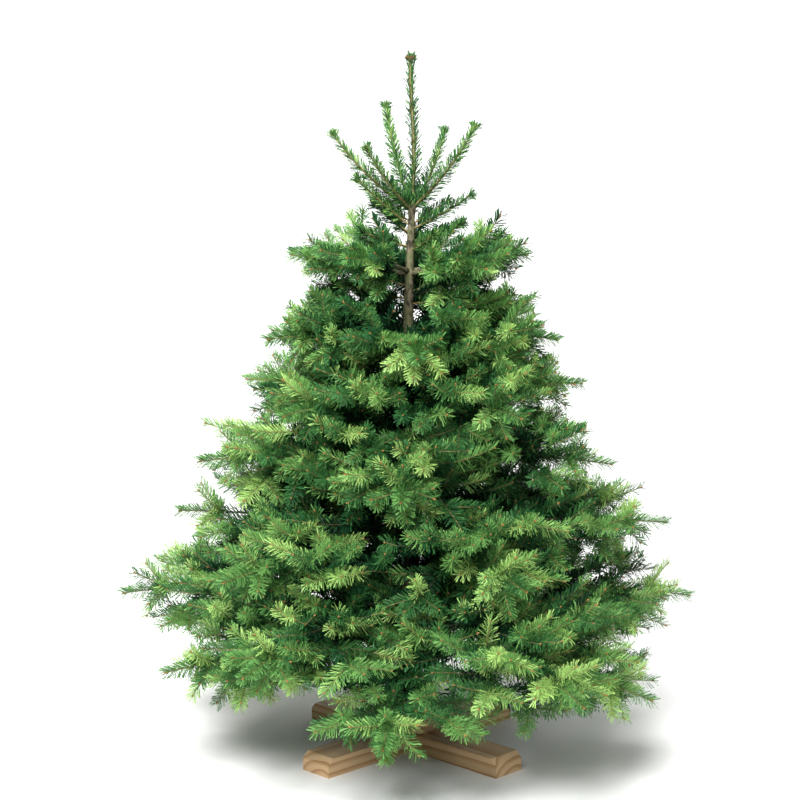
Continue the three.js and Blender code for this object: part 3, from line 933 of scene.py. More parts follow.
def place(tree, kind, inputs=None, **settings):
    """Adds a node, with its settings, and sets each input to a value or links it to an output."""
    node = tree.nodes.new(kind)
    for name, value in settings.items():
        setattr(node, name, value)
    for socket, value in (inputs or {}).items():
        if isinstance(value, bpy.types.NodeSocket):
            tree.links.new(value, node.inputs[socket])
        else:
            node.inputs[socket].default_value = value
    return node


def number(tree, operation, *values):
    """A Math node's result."""
    return place(tree, "ShaderNodeMath", dict(enumerate(values)), operation=operation).outputs[0]


def vector(tree, operation, *values):
    """A Vector Math node's result. A scaling's factor is its fourth input."""
    inputs = dict(enumerate(values))
    if operation == "SCALE":
        inputs = {0: values[0], 3: values[1]}
    return place(tree, "ShaderNodeVectorMath", inputs, operation=operation).outputs[0]


def between(tree, factor, low, high):
    """A number mixed from low to high."""
    node = place(tree, "ShaderNodeMapRange", {0: factor, 3: low, 4: high}, clamp=True)
    return node.outputs[0]


def random_number(tree, low, high, seed):
    """A random number for each point or instance."""
    inputs = {2: low, 3: high, "Seed": seed}
    return place(tree, "FunctionNodeRandomValue", inputs, data_type="FLOAT").outputs[1]


def either_way(tree, amount, seed):
    """A random number from -amount to amount."""
    return number(tree, "MULTIPLY", random_number(tree, -1.0, 1.0, seed), amount)


def named(tree, name):
    """A number that the lines carry."""
    node = place(tree, "GeometryNodeInputNamedAttribute", {"Name": name}, data_type="FLOAT")
    return node.outputs[0]


def noise(tree, where, scale, detail, roughness=0.5):
    """A noise texture's outputs, Fac and Color."""
    inputs = {"Vector": where, "Scale": scale, "Detail": detail, "Roughness": roughness}
    return place(tree, "ShaderNodeTexNoise", inputs).outputs


def geometry_tree(name, inputs):
    """A Geometry Nodes tree with named inputs, and its input node."""
    tree = bpy.data.node_groups.new(name, "GeometryNodeTree")
    tree.interface.new_socket("Geometry", in_out="INPUT", socket_type="NodeSocketGeometry")
    for label, kind, value in inputs:
        socket = tree.interface.new_socket(label, in_out="INPUT", socket_type=kind)
        if value is not None:
            socket.default_value = value
    tree.interface.new_socket("Geometry", in_out="OUTPUT", socket_type="NodeSocketGeometry")
    return tree, tree.nodes.new("NodeGroupInput").outputs


def finish_tree(tree, geometry, materials, tint=None):
    """Realize Instances and Set Material: one material, or one for each whole number of a tint."""
    geometry = place(tree, "GeometryNodeRealizeInstances", {0: geometry}).outputs[0]
    for i, material in enumerate(materials):
        inputs = {"Geometry": geometry, "Material": material}
        if tint is not None:
            inputs["Selection"] = place(
                tree, "FunctionNodeCompare", {0: tint, 1: float(i), "Epsilon": 0.5},
                data_type="FLOAT", operation="EQUAL",
            ).outputs[0]
        geometry = place(tree, "GeometryNodeSetMaterial", inputs).outputs[0]
    place(tree, "NodeGroupOutput", {0: geometry})
    return tree


def tint_inputs(tints):
    """An input for the material of each tint."""
    return [(f"Tint {i + 1}", "NodeSocketMaterial", None) for i in range(len(tints))]


def tint_outputs(inputs, tints):
    """The materials of those inputs, in order."""
    return [inputs[f"Tint {i + 1}"] for i in range(len(tints))]


def tint_values(tints, make):
    """The values of those inputs: a new material for each tint."""
    return {f"Tint {i + 1}": make(name, colour) for i, (name, colour) in enumerate(tints)}


def needle_tree():
    """Needles along shoots: spaced evenly, in a spiral, leaning to the tip and swept up at the sides."""
    tree, inputs = geometry_tree("Needles Along Shoots", [
        ("Needle", "NodeSocketObject", None),
        ("Spacing", "NodeSocketFloat", NEEDLE["spacing"]),
        ("Width", "NodeSocketFloat", NEEDLE["width"]),
        ("Lean", "NodeSocketFloat", math.radians(NEEDLE_LAY["lean"])),
        ("Tip Lean", "NodeSocketFloat", math.radians(NEEDLE_LAY["tip_lean"])),
        ("Forward", "NodeSocketFloat", math.radians(NEEDLE_LAY["forward"])),
        ("Upsweep", "NodeSocketFloat", NEEDLE_LAY["upsweep"]),
        ("Disorder", "NodeSocketFloat", NEEDLE_LAY["disorder"]),
        ("Roll", "NodeSocketFloat", NEEDLE_LAY["roll"]),
        ("Tint Spread", "NodeSocketFloat", NEEDLE_LAY["tint_spread"]),
        ("Seed", "NodeSocketInt", 1),
        *tint_inputs(NEEDLE_TINTS),
    ])
    golden_angle = math.radians(137.508)
    nearly_up = (0.02, 0.01, 1.0)  # so that an upright shoot has sides too
    at_tip, least, most = 0.78, 0.84, 1.08  # needle lengths at a shoot's tip and by chance
    lines = place(tree, "GeometryNodeMeshToCurve", {0: inputs["Geometry"]}).outputs[0]
    apart = number(tree, "MULTIPLY", inputs["Spacing"], named(tree, "spacing"))
    inputs_apart = {"Curve": lines, "Length": apart}
    lines = place(tree, "GeometryNodeResampleCurve", inputs_apart, mode="LENGTH").outputs[0]
    along = tree.nodes.new("GeometryNodeInputTangent").outputs[0]
    factor = tree.nodes.new("GeometryNodeSplineParameter").outputs["Factor"]
    index = tree.nodes.new("GeometryNodeInputIndex").outputs[0]
    seed = inputs["Seed"]

    across = vector(tree, "NORMALIZE", vector(tree, "CROSS_PRODUCT", along, nearly_up))
    over = vector(tree, "CROSS_PRODUCT", across, along)
    turn = number(tree, "MULTIPLY", index, golden_angle)
    turn = number(tree, "ADD", turn, random_number(tree, -0.5, 0.5, seed))
    out = vector(
        tree, "ADD",
        vector(tree, "SCALE", across, number(tree, "COSINE", turn)),
        vector(tree, "SCALE", over, number(tree, "SINE", turn)),
    )
    raised = vector(tree, "SCALE", over, inputs["Upsweep"])
    out = vector(tree, "NORMALIZE", vector(tree, "ADD", out, raised))
    late = number(tree, "POWER", factor, 2.0)
    lean = between(tree, late, inputs["Lean"], inputs["Tip Lean"])
    lean = number(tree, "SUBTRACT", lean, between(tree, number(tree, "SINE", turn), 0.0, inputs["Forward"]))
    lean = number(tree, "ADD", lean, either_way(tree, inputs["Disorder"], number(tree, "ADD", seed, 1.0)))
    direction = vector(
        tree, "ADD",
        vector(tree, "SCALE", along, number(tree, "COSINE", lean)),
        vector(tree, "SCALE", out, number(tree, "SINE", lean)),
    )
    rolled = place(
        tree, "FunctionNodeRandomValue", {0: (-1, -1, -1), 1: (1, 1, 1), "Seed": seed},
        data_type="FLOAT_VECTOR",
    ).outputs[0]
    upper = vector(tree, "ADD", vector(tree, "SCALE", along, 0.5), over)
    upper = vector(tree, "ADD", upper, vector(tree, "SCALE", rolled, inputs["Roll"]))
    rotation = place(
        tree, "FunctionNodeAxesToRotation", {"Primary Axis": direction, "Secondary Axis": upper},
        primary_axis="Z", secondary_axis="Y",
    ).outputs[0]
    share = between(tree, late, 1.0, at_tip)
    share = number(tree, "MULTIPLY", share, random_number(tree, least, most, seed))
    width = number(tree, "MULTIPLY", inputs["Width"], named(tree, "width"))
    size = place(tree, "ShaderNodeCombineXYZ", {
        0: width, 1: width, 2: number(tree, "MULTIPLY", named(tree, "length"), share),
    }).outputs[0]
    needle = place(tree, "GeometryNodeObjectInfo", {"Object": inputs["Needle"]}).outputs["Geometry"]
    laid = place(tree, "GeometryNodeInstanceOnPoints", {
        "Points": lines, "Instance": needle, "Rotation": rotation, "Scale": size,
    }).outputs[0]
    tint = number(tree, "ADD", named(tree, "tint"), either_way(tree, inputs["Tint Spread"], seed))
    tint = number(tree, "MAXIMUM", number(tree, "MINIMUM", tint, len(NEEDLE_TINTS) - 1), 0.0)
    laid = place(
        tree, "GeometryNodeStoreNamedAttribute", {"Geometry": laid, "Name": "tint", "Value": tint},
        data_type="FLOAT", domain="INSTANCE",
    ).outputs[0]
    return finish_tree(tree, laid, tint_outputs(inputs, NEEDLE_TINTS), named(tree, "tint"))


def tube(tree, geometry, sides):
    """Lines made round, each as thick as it says."""
    lines = place(tree, "GeometryNodeMeshToCurve", {0: geometry}).outputs[0]
    thickness = named(tree, "thickness")
    lines = place(tree, "GeometryNodeSetCurveRadius", {"Curve": lines, "Radius": thickness}).outputs[0]
    ring = place(tree, "GeometryNodeCurvePrimitiveCircle", {"Resolution": sides, "Radius": 1.0}).outputs[0]
    inputs = {"Curve": lines, "Profile Curve": ring, "Fill Caps": True}
    node = place(tree, "GeometryNodeCurveToMesh", inputs)
    if "Scale" in node.inputs:  # where the node has one, it stands in for the curve's radius
        tree.links.new(thickness, node.inputs["Scale"])
    return place(tree, "GeometryNodeSetShadeSmooth", {0: node.outputs[0]}).outputs[0]


def twig_tree():
    """Thin round twigs along lines."""
    tree, inputs = geometry_tree("Twigs Along Lines", [
        ("Sides", "NodeSocketInt", 4), *tint_inputs(TWIG_TINTS),
    ])
    twigs = tube(tree, inputs["Geometry"], inputs["Sides"])
    return finish_tree(tree, twigs, tint_outputs(inputs, TWIG_TINTS), named(tree, "tint"))


def bark_tree():
    """Round limbs along lines, whose bark stands out in ridges and low blisters."""
    tree, inputs = geometry_tree("Bark Along Limbs", [
        ("Sides", "NodeSocketInt", 16),
        ("Relief", "NodeSocketFloat", 0.0005),
        ("Ridges per Metre", "NodeSocketFloat", 240.0),
        ("Bark", "NodeSocketMaterial", None),
    ])
    limbs = tube(tree, inputs["Geometry"], inputs["Sides"])
    position = tree.nodes.new("GeometryNodeInputPosition").outputs[0]
    drawn_out = vector(tree, "MULTIPLY", position, (1.0, 1.0, 0.35))
    flattened = vector(tree, "MULTIPLY", position, (1.0, 1.0, 1.9))
    blisters_per_metre = 170.0
    ridges = noise(tree, drawn_out, inputs["Ridges per Metre"], 3.0, 0.6)["Fac"]
    blisters = place(
        tree, "ShaderNodeTexVoronoi", {"Vector": flattened, "Scale": blisters_per_metre},
    ).outputs["Distance"]
    bump = between(tree, blisters, 0.6, -0.2)
    height = number(tree, "SUBTRACT", ridges, 0.5)
    height = number(tree, "ADD", height, number(tree, "MULTIPLY", bump, 0.5))
    height = number(tree, "MULTIPLY", height, inputs["Relief"])
    height = number(tree, "MULTIPLY", height, named(tree, "rough"))
    normal = tree.nodes.new("GeometryNodeInputNormal").outputs[0]
    raised = {"Geometry": limbs, "Offset": vector(tree, "SCALE", normal, height)}
    limbs = place(tree, "GeometryNodeSetPosition", raised).outputs[0]
    return finish_tree(tree, limbs, [inputs["Bark"]])


def dotted_tree(name, facing, tints):
    """Copies of a small piece at points, each turned, sized and tinted as its point says."""
    tree, inputs = geometry_tree(name, [("Piece", "NodeSocketObject", None), *tint_inputs(tints)])
    heading = place(
        tree, "GeometryNodeInputNamedAttribute", {"Name": "heading"}, data_type="FLOAT_VECTOR",
    ).outputs[0]
    rotation = place(
        tree, "FunctionNodeAxesToRotation", {"Primary Axis": heading, "Secondary Axis": facing},
        primary_axis="Z", secondary_axis="X",
    ).outputs[0]
    piece = place(tree, "GeometryNodeObjectInfo", {"Object": inputs["Piece"]}).outputs["Geometry"]
    copies = place(tree, "GeometryNodeInstanceOnPoints", {
        "Points": inputs["Geometry"], "Instance": piece, "Rotation": rotation, "Scale": named(tree, "size"),
    }).outputs[0]
    return finish_tree(tree, copies, tint_outputs(inputs, tints), named(tree, "tint"))


# ---- Meshes ------------------------------------------------------------------------------------


def keep(obj):
    """Puts an object in the scene."""
    bpy.context.scene.collection.objects.link(obj)
    return obj


def mesh_of(name, points, faces=(), edges=()):
    """A new mesh."""
    mesh = bpy.data.meshes.new(name)
    mesh.from_pydata([tuple(map(float, p)) for p in points], list(edges), list(faces))
    mesh.update()
    return mesh


def carry(mesh, label, values):
    """Gives each point of a mesh its number."""
    mesh.attributes.new(label, "FLOAT", "POINT").data.foreach_set("value", values)


def line_mesh(name, lines, names):
    """Lines as a mesh of edges. Each line is its points, then one number or list for each name."""
    points = np.vstack([line[0] for line in lines])
    edges, start = [], 0
    for line in lines:
        count = len(line[0])
        edges += [(start + i, start + i + 1) for i in range(count - 1)]
        start += count
    mesh = mesh_of(name, points, edges=edges)
    for column, label in enumerate(names, 1):
        values = [np.broadcast_to(np.asarray(line[column], float), len(line[0])) for line in lines]
        carry(mesh, label, np.concatenate(values))
    return mesh


def grown(name, mesh, tree, values):
    """The plain mesh that a node tree makes of another mesh, as a piece."""
    source = keep(bpy.data.objects.new(name, mesh))
    modifier = source.modifiers.new("Growth", "NODES")
    modifier.node_group = tree
    for item in tree.interface.items_tree:
        if item.item_type == "SOCKET" and item.in_out == "INPUT" and item.name in values:
            modifier[item.identifier] = values[item.name]
    depsgraph = bpy.context.evaluated_depsgraph_get()
    made = bpy.data.meshes.new_from_object(source.evaluated_get(depsgraph), depsgraph=depsgraph)
    if not made.polygons:
        raise RuntimeError(f"{name} came out empty")
    source.modifiers.remove(modifier)
    source.data = made
    bpy.data.meshes.remove(mesh)
    made.name = name
    if made.materials[0] is None:  # the slot of the bare lines, that no face has
        made.materials.pop(index=0)
    return source


def joined(pieces):
    """Pieces as one object, the first of them."""
    if len(pieces) > 1:
        with bpy.context.temp_override(active_object=pieces[0], selected_editable_objects=pieces):
            bpy.ops.object.join()
    return pieces[0]


def shape_object(name, points, faces):
    """A small shape for a node tree to copy. It is removed once the copies are made."""
    return keep(bpy.data.objects.new(name, mesh_of(name, points, faces)))


def remove(obj):
    """Takes away an object and its mesh."""
    mesh = obj.data
    bpy.data.objects.remove(obj)
    bpy.data.meshes.remove(mesh)


def needle_shape():
    """A flat blade of unit length and width, narrow at its foot, blunt at its tip and a little twisted."""
    points = [(-0.24, 0, 0), (0.24, 0, 0), (0.4, 0.5, 0.97), (-0.36, 0.9, 1)]
    return shape_object("needle_shape", points, [(0, 1, 2), (0, 2, 3)])


def bud_shape():
    """A pointed egg of unit length with four sides."""
    points = [(0, 0, 0)]
    points += [(0.45 * c, 0.45 * s, 0.42) for c, s in ((1, 0), (0, 1), (-1, 0), (0, -1))]
    points.append((0, 0, 1.1))
    faces = [(0, 1 + (i + 1) % 4, 1 + i) for i in range(4)]
    faces += [(1 + i, 1 + (i + 1) % 4, 5) for i in range(4)]
    return shape_object("bud_shape", points, faces)


def ride(piece, slot, *nodes):
    """Ties a finished piece to the body and hides the nodes that it replaces; its slot is not used."""
    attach(piece, BODY)
    if nodes:
        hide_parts(*nodes)


# ---- Materials ---------------------------------------------------------------------------------


def shader(name, **values):
    """A material and its Principled BSDF, with plain values set on the shader's own sockets."""
    material = bpy.data.materials.new(name)
    material.use_nodes = True
    principled = material.node_tree.nodes["Principled BSDF"]
    for label, value in values.items():
        principled.inputs[label.replace("_", " ")].default_value = value
    return material, principled


def plain_material(name, colour, roughness, specular):
    """A material of one plain colour."""
    return shader(name, Base_Color=(*colour, 1), Roughness=roughness, Specular_IOR_Level=specular)[0]


def leaf_material(name, colour):
    """Waxy needles, the greener ones glossier."""
    return plain_material(name, colour, 0.45, mix(0.1, 0.3, colour[1] / 0.6))


def wood_material(name, colour):
    """Young twigs and buds."""
    return plain_material(name, colour, 0.72, 0.3)


def shader_group(name, inputs, outputs):
    """A shader node group with named inputs and outputs, and its input and output nodes."""
    group = bpy.data.node_groups.new(name, "ShaderNodeTree")
    for label, kind, value in inputs:
        group.interface.new_socket(label, in_out="INPUT", socket_type=kind).default_value = value
    for label, kind in outputs:
        group.interface.new_socket(label, in_out="OUTPUT", socket_type=kind)
    return group, group.nodes.new("NodeGroupInput").outputs, group.nodes.new("NodeGroupOutput").inputs


def stretched(tree, where, scale):
    """Coordinates scaled along each axis."""
    return place(tree, "ShaderNodeMapping", {"Vector": where, "Scale": scale}).outputs[0]


def ramp(tree, value, low, high, top=1.0, **settings):
    """Nothing up to low, top from high on, and what lies between."""
    return place(tree, "ShaderNodeMapRange", {0: value, 1: low, 2: high, 4: top}, **settings).outputs[0]


def colours_mixed(tree, share, low, high):
    """A colour at a share of the way from low to high."""
    return place(tree, "ShaderNodeMix", {0: share, 6: low, 7: high}, data_type="RGBA").outputs[2]


SURFACE = [("Color", "NodeSocketColor"), ("Height", "NodeSocketFloat"), ("Roughness", "NodeSocketFloat")]


def mottle_group():
    """Mottled patches and fine flecks, as a mix of two colours and a height."""
    group, inputs, outputs = shader_group("Mottled Surface", [
        ("Ridge", "NodeSocketColor", (0.2, 0.15, 0.1, 1)),
        ("Hollow", "NodeSocketColor", (0.06, 0.045, 0.03, 1)),
        ("Bloom", "NodeSocketColor", (*BLOOM, 1)),
        ("Scale", "NodeSocketFloat", 150.0),
    ], SURFACE)
    where = group.nodes.new("ShaderNodeTexCoord").outputs["Object"]
    coarse = noise(group, stretched(group, where, (1, 1, 0.45)), inputs["Scale"], 6.0)["Fac"]
    flecks = noise(group, stretched(group, where, (0.6, 0.6, 2.4)), 420.0, 2.0)["Fac"]
    patches = noise(group, where, 40.0, 3.0)["Fac"]
    tone = colours_mixed(group, ramp(group, coarse, 0.45, 0.55), inputs["Hollow"], inputs["Ridge"])
    tone = colours_mixed(group, ramp(group, patches, 0.48, 0.6, 0.7), tone, inputs["Bloom"])
    tone = colours_mixed(group, ramp(group, flecks, 0.62, 0.72, 0.45), tone, (*FLECK, 1))
    group.links.new(tone, outputs["Color"])
    group.links.new(number(group, "ADD", coarse, number(group, "MULTIPLY", flecks, 0.4)), outputs["Height"])
    group.links.new(between(group, coarse, 0.95, 0.7), outputs["Roughness"])
    return group


def grain_group():
    """Sawn softwood: growth rings cut along the board, fine pores and a few brown streaks."""
    group, inputs, outputs = shader_group("Sawn Softwood", [
        ("Early Wood", "NodeSocketColor", (0.6, 0.4, 0.2, 1)),
        ("Late Wood", "NodeSocketColor", (0.4, 0.2, 0.1, 1)),
        ("Turn", "NodeSocketFloat", 0.0),
        ("Rings per Metre", "NodeSocketFloat", 60.0),
    ], SURFACE)
    where = group.nodes.new("ShaderNodeTexCoord").outputs["Object"]
    turn = number(group, "MULTIPLY", inputs["Turn"], -1.0)
    turn = place(group, "ShaderNodeCombineXYZ", {2: turn}).outputs[0]
    board = place(
        group, "ShaderNodeVectorRotate", {"Vector": where, "Rotation": turn}, rotation_type="EULER_XYZ",
    ).outputs[0]
    along = stretched(group, board, (0.12, 1, 1))
    bend = vector(group, "SUBTRACT", noise(group, along, 9.0, 2.0)["Color"], (0.5, 0.5, 0.5))
    bent = vector(group, "ADD", along, vector(group, "SCALE", bend, 0.035))
    pith = vector(group, "ADD", vector(group, "MULTIPLY", bent, (0.0, 1.0, 1.0)), (0.0, 0.021, 0.055))
    from_pith = place(group, "ShaderNodeVectorMath", {0: pith}, operation="LENGTH").outputs["Value"]
    ring = number(group, "FRACT", number(group, "MULTIPLY", from_pith, inputs["Rings per Metre"]))
    late = ramp(group, ring, 0.35, 0.95, interpolation_type="SMOOTHSTEP")
    pores = noise(group, stretched(group, board, (0.05, 1, 1)), 900.0, 2.0)["Fac"]
    share = number(group, "MULTIPLY_ADD", number(group, "SUBTRACT", pores, 0.5), 0.5, late)
    height = number(group, "SUBTRACT", pores, number(group, "MULTIPLY", late, 0.3))
    tone = colours_mixed(group, share, inputs["Early Wood"], inputs["Late Wood"])
    group.links.new(tone, outputs["Color"])
    group.links.new(height, outputs["Height"])
    group.links.new(between(group, share, 0.7, 0.55), outputs["Roughness"])
    return group


def grouped_material(name, group, values, strength, distance):
    """A material whose colour, height and roughness come from a group."""
    material, principled = shader(name, Specular_IOR_Level=0.3)
    tree = material.node_tree
    source = place(tree, "ShaderNodeGroup", None, node_tree=group)
    for label, value in values.items():
        source.inputs[label].default_value = value
    bump = place(tree, "ShaderNodeBump", {
        "Strength": strength, "Distance": distance, "Height": source.outputs["Height"],
    })
    tree.links.new(source.outputs["Color"], principled.inputs["Base Color"])
    tree.links.new(source.outputs["Roughness"], principled.inputs["Roughness"])
    tree.links.new(bump.outputs[0], principled.inputs["Normal"])
    return material


# ---- Operators ---------------------------------------------------------------------------------

grown_whorls = {}  # what each whorl grew, filled in once


def growth_of(w):
    """What a whorl has grown. Whorl 0 is the youngest whorl's shoots and the small shoots on the trunk
    under them.
    """
    if w not in grown_whorls:
        growth = Growth()
        for k in range(WHORLS[w]["boughs"]):
            if w == 0:
                grow_shoot(growth, k)
            else:
                grow_bough(growth, w, k)
        if w == 0:
            grow_trunk_shoots(growth)
        elif w > 1:
            grow_trunk_twigs(growth, w)
        if w == len(WHORLS) - 1:
            grow_lesser_boughs(growth, w)
        grown_whorls[w] = growth
    return grown_whorls[w]


def nodes_of(kind, w):
    """Names of a whorl's nodes of one kind, foliage or bough."""
    return [f"{kind}_{w + 1}_{k + 1}" for k in range(WHORLS[w]["boughs"])]


def round_all(usual, lay, seed):
    """The needle tree's values for needles that stand out all round a strong shoot."""
    return {
        **usual, "Forward": 0.0, "Upsweep": 0.0, "Roll": 1.0, "Width": TOP_NEEDLE["width"],
        "Spacing": lay["spacing"], "Lean": math.radians(lay["lean"]),
        "Tip Lean": math.radians(lay["tip_lean"]), "Disorder": lay["disorder"],
        "Tint Spread": lay["tint_spread"], "Seed": seed,
    }


class FIR_OT_trunk(bpy.types.Operator):
    """Lays bark in relief on the trunk and on the boughs"""

    bl_idname = "fir.trunk"
    bl_label = "Trunk and Boughs"

    def execute(self, context):
        bark = context.scene.fir_bark
        tones = {"Ridge": (*bark.colour, 1), "Hollow": (*bark.hollow_colour, 1)}
        material = grouped_material("bark", mottle_group(), tones, 0.5, 0.0006)
        tree = bark_tree()
        mesh = line_mesh("trunk_bark", [trunk_bark_line()], ["thickness", "rough"])
        trunk = grown("trunk_bark", mesh, tree, {
            "Sides": bark.trunk_sides, "Relief": bark.relief,
            "Ridges per Metre": TRUNK_BARK["ridges"], "Bark": material,
        })
        ride(trunk, "bark", "trunk")

        limbs = [limb for w in range(1, len(WHORLS)) for limb in growth_of(w).limbs]
        mesh = line_mesh("bough_bark", [(*limb, 1.0) for limb in limbs], ["thickness", "rough"])
        boughs = grown("bough_bark", mesh, tree, {
            "Sides": BOUGH_BARK["sides"], "Relief": bark.relief * BOUGH_BARK["relief"],
            "Ridges per Metre": BOUGH_BARK["ridges"], "Bark": material,
        })
        ride(boughs, "bark", *(node for w in LIMBED_WHORLS for node in nodes_of("bough", w)))
        return {"FINISHED"}


class FIR_OT_twigs(bpy.types.Operator):
    """Makes the twigs of every whorl and the leader's stem"""

    bl_idname = "fir.twigs"
    bl_label = "Twigs"

    def execute(self, context):
        lines = [line for w in range(len(WHORLS)) for line in growth_of(w).twigs]
        stem = leader_line()
        lines.append((stem, np.linspace(*LEADER["radii"], len(stem)), len(TWIG_TINTS) - 1))
        mesh = line_mesh("twigs", lines, ["thickness", "tint"])
        values = {"Sides": 3, **tint_values(TWIG_TINTS, wood_material)}
        twigs = grown("twigs", mesh, twig_tree(), values)
        ride(twigs, "bark")
        return {"FINISHED"}


class FIR_OT_needles(bpy.types.Operator):
    """Lays needles on every shoot, one piece for each whorl and one for the leader"""

    bl_idname = "fir.needles"
    bl_label = "Needles"

    def execute(self, context):
        needles = context.scene.fir_needles
        shape = needle_shape()
        tree = needle_tree()
        usual = {
            "Needle": shape, "Spacing": needles.spacing, "Width": needles.width, "Lean": needles.lean,
            "Tip Lean": needles.tip_lean, "Forward": needles.forward, "Upsweep": needles.upsweep,
            "Disorder": NEEDLE_LAY["disorder"], "Roll": NEEDLE_LAY["roll"],
            "Tint Spread": NEEDLE_LAY["tint_spread"], **tint_values(NEEDLE_TINTS, leaf_material),
        }
        fuller = {
            "Spacing": needles.spacing * FULLER["spacing"], "Width": needles.width * FULLER["width"],
        }
        for w in range(1, len(WHORLS)):
            values = {**usual, "Seed": w + 1, **(fuller if w in OPEN_FRONT["whorls"] else {})}
            parts = [(growth_of(w).shoots, values)]
            self.lay(f"needles_whorl_{w + 1}", tree, parts, nodes_of("foliage", w))

        top = growth_of(0)
        self.lay("needles_whorl_1", tree, [
            (top.shoots, round_all(usual, UPSWEPT_LAY, 1)),
            (top.tufts, round_all(usual, TUFT_LAY, 30)),
        ], nodes_of("foliage", 0))

        stem = leader_line()
        low, high = LEADER["crown"]
        crown = np.linspace(stem[-1] + low * UP, stem[-1] + high * UP, 4)
        lengths = np.linspace(*LEADER["needles"], len(stem))
        self.lay("needles_leader", tree, [
            ([(stem, lengths, 1, 1, LEADER["tint"])], round_all(usual, LEADER_LAY, 20)),
            ([(crown, LEADER["crown_needle"], 1, 1, LEADER["crown_tint"])], round_all(usual, TUFT_LAY, 21)),
        ], ["leader"])
        remove(shape)
        return {"FINISHED"}

    def lay(self, name, tree, parts, nodes):
        """One piece, in place of some nodes, from lines that may take the tree's values differently."""
        pieces = []
        for lines, values in parts:
            mesh = line_mesh(name, lines, ["length", "spacing", "width", "tint"])
            pieces.append(grown(name, mesh, tree, values))
        piece = joined(pieces)
        piece.name = name
        ride(piece, "needles", *nodes)


class FIR_OT_buds(bpy.types.Operator):
    """Sets buds on the tips of the twigs and of the leader"""

    bl_idname = "fir.buds"
    bl_label = "Buds"

    def execute(self, context):
        top = leader_buds() + growth_of(0).buds
        buds = top + [bud for w in range(1, len(WHORLS)) for bud in growth_of(w).buds]
        mesh = mesh_of("buds", [bud[0] for bud in buds])
        headings = np.array([bud[1] for bud in buds]).ravel()
        mesh.attributes.new("heading", "FLOAT_VECTOR", "POINT").data.foreach_set("vector", headings)
        carry(mesh, "size", np.array([bud[2] for bud in buds]))
        carry(mesh, "tint", np.array([1.0] * len(top) + [0.0] * (len(buds) - len(top))))
        shape = bud_shape()
        tree = dotted_tree("Buds At Tips", (0.3, 0.9, 0.2), BUD_TINTS)
        values = {"Piece": shape, **tint_values(BUD_TINTS, wood_material)}
        piece = grown("buds", mesh, tree, values)
        ride(piece, "bark")
        remove(shape)
        return {"FINISHED"}


class FIR_OT_stand(bpy.types.Operator):
    """Finishes the stand's beams and collar in sawn softwood"""

    bl_idname = "fir.stand"
    bl_label = "Stand"

    def execute(self, context):
        stand = context.scene.fir_stand
        grain = grain_group()
        tones = {"Early Wood": (*stand.colour, 1), "Late Wood": (*stand.ring_colour, 1)}
        for node, turn in STAND_GRAIN.items():
            values = dict(tones, Turn=math.radians(turn))
            material = grouped_material(f"softwood_{node}", grain, values, 0.35, 0.0005)
            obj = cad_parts[node]
            obj.data.materials.clear()
            obj.data.materials.append(material)
        return {"FINISHED"}


def backdrop_shape():
    """Points and faces of the floor that curves up into a wall behind the tree."""
    half, back, bend, steps = BACKDROP["half"], BACKDROP["back"], BACKDROP["bend"], BACKDROP["steps"]
    profile = [(-half, 0.0), (back - bend, 0.0)]
    for i in range(1, steps + 1):
        turn = math.radians(90 * i / steps)
        profile.append((back - bend + bend * math.sin(turn), bend - bend * math.cos(turn)))
    profile.append((back, BACKDROP["rise"]))
    points = [(x, y, z + FLOOR) for y, z in profile for x in (-half, half)]
    faces = [(2 * i, 2 * i + 1, 2 * i + 3, 2 * i + 2) for i in range(len(profile) - 1)]
    return points, faces


def rotation_facing(towards):
    """The turn that points a light's -Z along a direction, its side level."""
    flat = math.hypot(towards[0], towards[1])
    tip = math.pi / 2 + math.atan2(towards[2], flat)
    return (tip, 0, math.atan2(towards[1], towards[0]) - math.pi / 2)


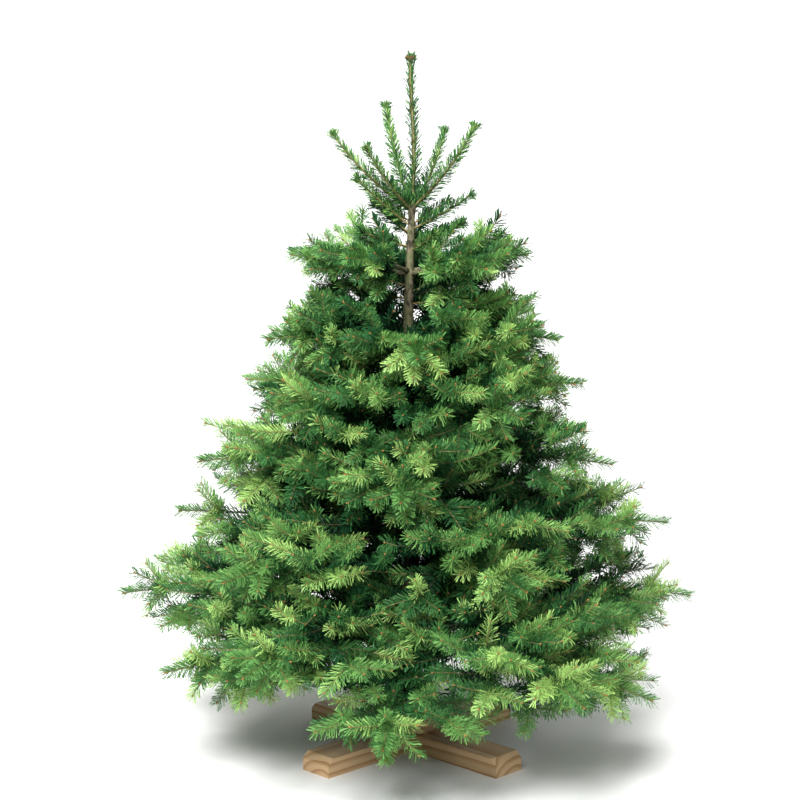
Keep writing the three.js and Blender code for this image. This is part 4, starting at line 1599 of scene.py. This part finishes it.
class FIR_OT_studio(bpy.types.Operator):
    """Sets the pale floor, the soft lights and the camera, at the front and a little above the boughs"""

    bl_idname = "fir.studio"
    bl_label = "Studio"

    def execute(self, context):
        studio = context.scene.fir_studio
        scene = context.scene
        mesh = mesh_of("backdrop", *backdrop_shape())
        mesh.shade_smooth()
        mesh.materials.append(plain_material("backdrop_paper", studio.backdrop, 0.9, 0.1))
        keep(bpy.data.objects.new("backdrop", mesh))

        world = bpy.data.worlds.new("studio_air")
        world.use_nodes = True
        tree = world.node_tree
        air = tree.nodes["Background"].inputs
        air["Color"].default_value = (1, 1, 1, 1)
        seen = place(tree, "ShaderNodeLightPath").outputs["Is Camera Ray"]
        tree.links.new(between(tree, seen, studio.ambient, 1.0), air["Strength"])
        scene.world = world

        powers = (studio.key_power, studio.fill_power, studio.wall_power)
        for (name, (where, size, aim)), power in zip(LIGHTS.items(), powers):
            lamp = bpy.data.lights.new(name, "AREA")
            lamp.size = size
            lamp.energy = power
            obj = keep(bpy.data.objects.new(name, lamp))
            obj.location = where
            obj.rotation_euler = rotation_facing(np.array(aim) - np.array(where))

        lens = bpy.data.cameras.new("camera")
        lens.sensor_width = CAMERA["sensor"]
        lens.lens = CAMERA["sensor"] * CAMERA["focal_pixels"] / CAMERA["frame_pixels"]
        camera = keep(bpy.data.objects.new("camera", lens))
        camera.location = CAMERA["place"]
        camera.rotation_euler = (math.radians(90 - CAMERA["tip"]), 0, 0)
        scene.camera = camera
        scene.view_settings.view_transform = "Standard"
        return {"FINISHED"}


class FIR_PT_sidebar(bpy.types.Panel):
    """Shows the tree's settings and the buttons that build it"""

    bl_idname = "FIR_PT_sidebar"
    bl_label = "Cut Fir"
    bl_space_type = "VIEW_3D"
    bl_region_type = "UI"
    bl_category = "Fir"

    def draw(self, context):
        layout = self.layout
        scene = context.scene
        for settings in (scene.fir_needles, scene.fir_bark, scene.fir_stand, scene.fir_studio):
            box = layout.box()
            for name in settings.__annotations__:
                box.prop(settings, name)
        for operator in OPERATORS:
            layout.operator(operator.bl_idname)


OPERATORS = (FIR_OT_studio, FIR_OT_trunk, FIR_OT_twigs, FIR_OT_needles, FIR_OT_buds, FIR_OT_stand)
SETTINGS = {
    "fir_needles": FirNeedles, "fir_bark": FirBark, "fir_stand": FirStand, "fir_studio": FirStudio,
}


def register():
    """Makes the settings, the operators and the panel known."""
    for cls in (*SETTINGS.values(), *OPERATORS, FIR_PT_sidebar):
        bpy.utils.register_class(cls)
    for name, cls in SETTINGS.items():
        setattr(bpy.types.Scene, name, PointerProperty(type=cls))


def unregister():
    """Takes them away again."""
    for name in SETTINGS:
        delattr(bpy.types.Scene, name)
    for cls in reversed((*SETTINGS.values(), *OPERATORS, FIR_PT_sidebar)):
        bpy.utils.unregister_class(cls)


def main():
    """Builds the stage and the tree."""
    register()
    bpy.ops.fir.studio()
    bpy.ops.fir.trunk()
    bpy.ops.fir.twigs()
    bpy.ops.fir.needles()
    bpy.ops.fir.buds()
    bpy.ops.fir.stand()


if __name__ == "__main__":
    main()
